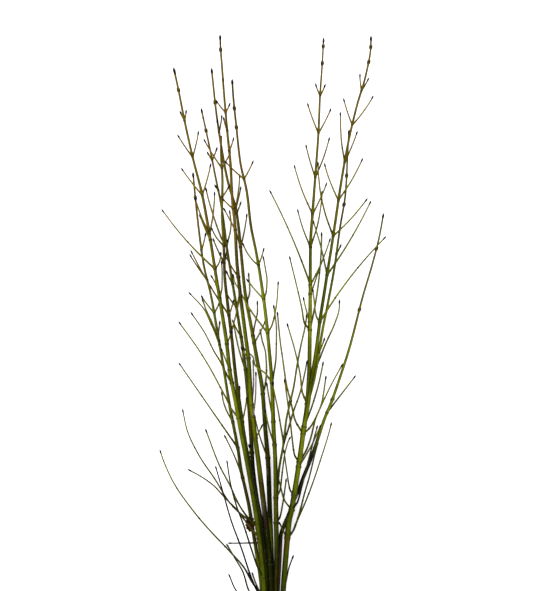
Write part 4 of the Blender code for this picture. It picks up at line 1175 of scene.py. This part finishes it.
def tie_outline(room):
    """Outline round the stems in the tie, that far from their bark, as (x, z) points."""
    half = TIE_WIDTH / 2 / SQUARE
    stems = []
    for shoots in STEMS.values():
        for height in (TIE_HEIGHT - half, TIE_HEIGHT, TIE_HEIGHT + half):
            x, _, z = axis(shoots[0], [height])[0]
            stems.append((x, z, girth(shoots[0], height)))
    outline = []
    for step in range(OUTLINE_STEPS):
        turn = 2 * math.pi * step / OUTLINE_STEPS - math.pi / 2
        for nudge in (-0.01, 0.01):  # both ends of a straight stretch that faces this way
            way = (math.cos(turn + nudge), math.sin(turn + nudge))
            x, z, radius = max(stems, key=lambda s: s[0] * way[0] + s[1] * way[1] + s[2])
            spot = (x + (radius + room) * math.cos(turn), z + (radius + room) * math.sin(turn))
            if not outline or math.dist(spot, outline[-1]) > 1e-6:
                outline.append(spot)
    return outline


def rope(line, seed, sideways=(0.02, 1, 0.03), frayed=0):
    """Three twisted strands along a line of grid points, which part over a frayed stretch at its end."""
    line, thick = np.asarray(line, float), TWINE_RADIUS / SQUARE
    along = so_far(line)
    at = np.linspace(0, along[-1], int(along[-1] / STRAND_STEP))
    middle = np.column_stack([np.interp(at, along, column) for column in line.T])
    right, up = bearings(middle, sideways)
    strands = []
    for n in range(3):
        turn = 2 * np.pi * (at / TWIST + n / 3)
        parted = np.clip((at - along[-1] + frayed) / frayed, 0, 1) if frayed else np.zeros(len(at))
        offset = (0.46 * thick * (1 + 2.4 * parted**2))[:, None]
        strand = middle + offset * (np.cos(turn)[:, None] * right + np.sin(turn)[:, None] * up)
        strands.append(skin(strand, 0.54 * thick * (1 - 0.7 * parted**3), JUTE, 8, seed + n, sideways=sideways))
    return strands


def wound():
    """The twine's middle line round the bunch, in turns side by side."""
    outline = np.array(tie_outline((TIE_GAP + TIE_THICKNESS / 2) / SQUARE))
    loop = np.vstack([outline, outline[:1]])
    along = so_far(loop)
    share = np.linspace(0, TWINE_TURNS, 90 * TWINE_TURNS)
    at = (share % 1) * along[-1]
    half = TIE_WIDTH / 2 / SQUARE - TWINE_RADIUS / SQUARE
    heights = TIE_HEIGHT - half + 2 * half * share / TWINE_TURNS
    return np.column_stack([np.interp(at, along, loop[:, 0]), heights, np.interp(at, along, loop[:, 1])])


turns = wound()
print("the twine goes round in", len(turns), "points")

# %% [markdown]
# ## The knot and its ends
# The twine is tied on top of the bunch. A three-lobed knot line, the simplest that holds, gives the look of one
# pulled tight, and the two free ends come out of it and part into their strands where they were cut.

# %% Tie the knot
KNOT_SIZE, KNOT_LIFT = 0.78, 0.7  # in squares
TAIL_STOPS = [(0, 0, 0.5), (2.4, 1.6, 1.5), (5, 4, 2), (9, 9, 1.6)]  # a free end's way out from the knot

outer_top = max(z for _, z in tie_outline((TIE_GAP + TIE_THICKNESS) / SQUARE))
knot_middle = np.array([KNOT_X, TIE_HEIGHT, outer_top + KNOT_LIFT])
t = np.linspace(0, 2 * np.pi, 160)
knot_line = knot_middle + KNOT_SIZE * np.column_stack([np.sin(t) + 2 * np.sin(2 * t), np.cos(t) - 2 * np.cos(2 * t),
                                                       -np.sin(3 * t)])
twine_skins = rope(turns, 20) + rope(knot_line, 30, sideways=(0.05, 0.08, 1))
tail_marks = [math.dist((0, 0), stop[:2]) for stop in TAIL_STOPS]
tail = smooth_rows(tail_marks, TAIL_STOPS, np.linspace(0, tail_marks[-1], 40))
for side in (-1, 1):
    twine_skins += rope((KNOT_X, TIE_HEIGHT, outer_top) + tail * (side, 1, 1), 40 + side, sideways=(0, 0, 1),
                        frayed=2.5)
twine_look = bark_finish("jute twine", 0.9, 0.0, 0.5)
twine = build("twine_tie", [each._replace(look=0) for each in twine_skins], [twine_look])
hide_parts("tie")
print("the tie has", len(twine.data.polygons), "faces")

# %% [markdown]
# ## The scrap of dry leaf
# Last year's leaves fall, but a scrap stays caught low in the bunch. It is a thin curled blade with a torn edge, a
# midrib and side veins, so it is made as two sheets that meet at the rim, bent by a few waves.

# %% Curl the leaf
LEAF_BROWN = (0.040, 0.014, 0.007)
LEAF_VEIN = (0.085, 0.038, 0.018)
LEAF_THICKNESS = 0.0008


def leaf_skin():
    """The blade's two sheets and its rim, with colours for its veins."""
    along = np.linspace(0, 1, 60)
    half = smooth(list(zip(LEAF_STOPS, LEAF_HALVES)), along)
    torn = 1 + 0.10 * np.sin(29 * along + 1) + 0.07 * np.sin(67 * along)
    across = np.linspace(-1, 1, 33)
    wide = across[None, :] * (half * torn)[:, None]
    deep = np.repeat(along[:, None], 33, axis=1) + 0.02 * np.sin(11 * wide)
    x = LEAF_X + wide * LEAF_WIDE / 2
    height = LEAF_HEIGHT + deep * LEAF_LONG
    z = LEAF_Z + LEAF_CURL * wide**2 + 0.8 * np.sin(5 * deep) + 0.22 * np.sin(8 * wide + 13 * deep)
    vein = np.exp(-((wide / 0.05) ** 2))
    side = np.abs(((deep * 7 - np.abs(wide) * 2.2) % 1) - 0.5)
    vein = np.maximum(vein, 0.6 * np.exp(-((side / 0.09) ** 2)))
    z = z + 0.12 * vein
    thin = LEAF_THICKNESS / 2 / SQUARE * np.clip((1 - np.abs(across)) * 6, 0.15, 1)
    colours = np.array(LEAF_BROWN) + vein[..., None] * (np.array(LEAF_VEIN) - LEAF_BROWN)
    colours = colours * (0.8 + 0.35 * np.sin(9 * deep + 5 * wide)[..., None] ** 2)
    sheets = [np.stack([x, height, z + lift * thin], axis=-1) for lift in (1, -1)]
    rows, columns = x.shape
    faces = []
    for sheet in (0, rows * columns):
        for n in range(rows - 1):
            for m in range(columns - 1):
                a = sheet + n * columns + m
                quad = [a, a + 1, a + columns + 1, a + columns]
                faces.append(quad if sheet == 0 else quad[::-1])
    rim = [m for m in range(columns)] + [n * columns + columns - 1 for n in range(1, rows)]
    rim += [(rows - 1) * columns + m for m in range(columns - 2, -1, -1)]
    rim += [n * columns for n in range(rows - 2, 0, -1)]
    for a, b in zip(rim, rim[1:] + rim[:1]):
        faces.append([b, a, a + rows * columns, b + rows * columns])
    points = np.vstack([sheet.reshape(-1, 3) for sheet in sheets])
    return Skin(points, faces, np.vstack([colours.reshape(-1, 3)] * 2), points * SQUARE, 0)


leaf_look = bark_finish("dry leaf", 0.75, 0.0, 0.35)
scrap = build("leaf_scrap", [leaf_skin()], [leaf_look])
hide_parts("dry_leaf")
print("the leaf has", len(scrap.data.polygons), "faces")
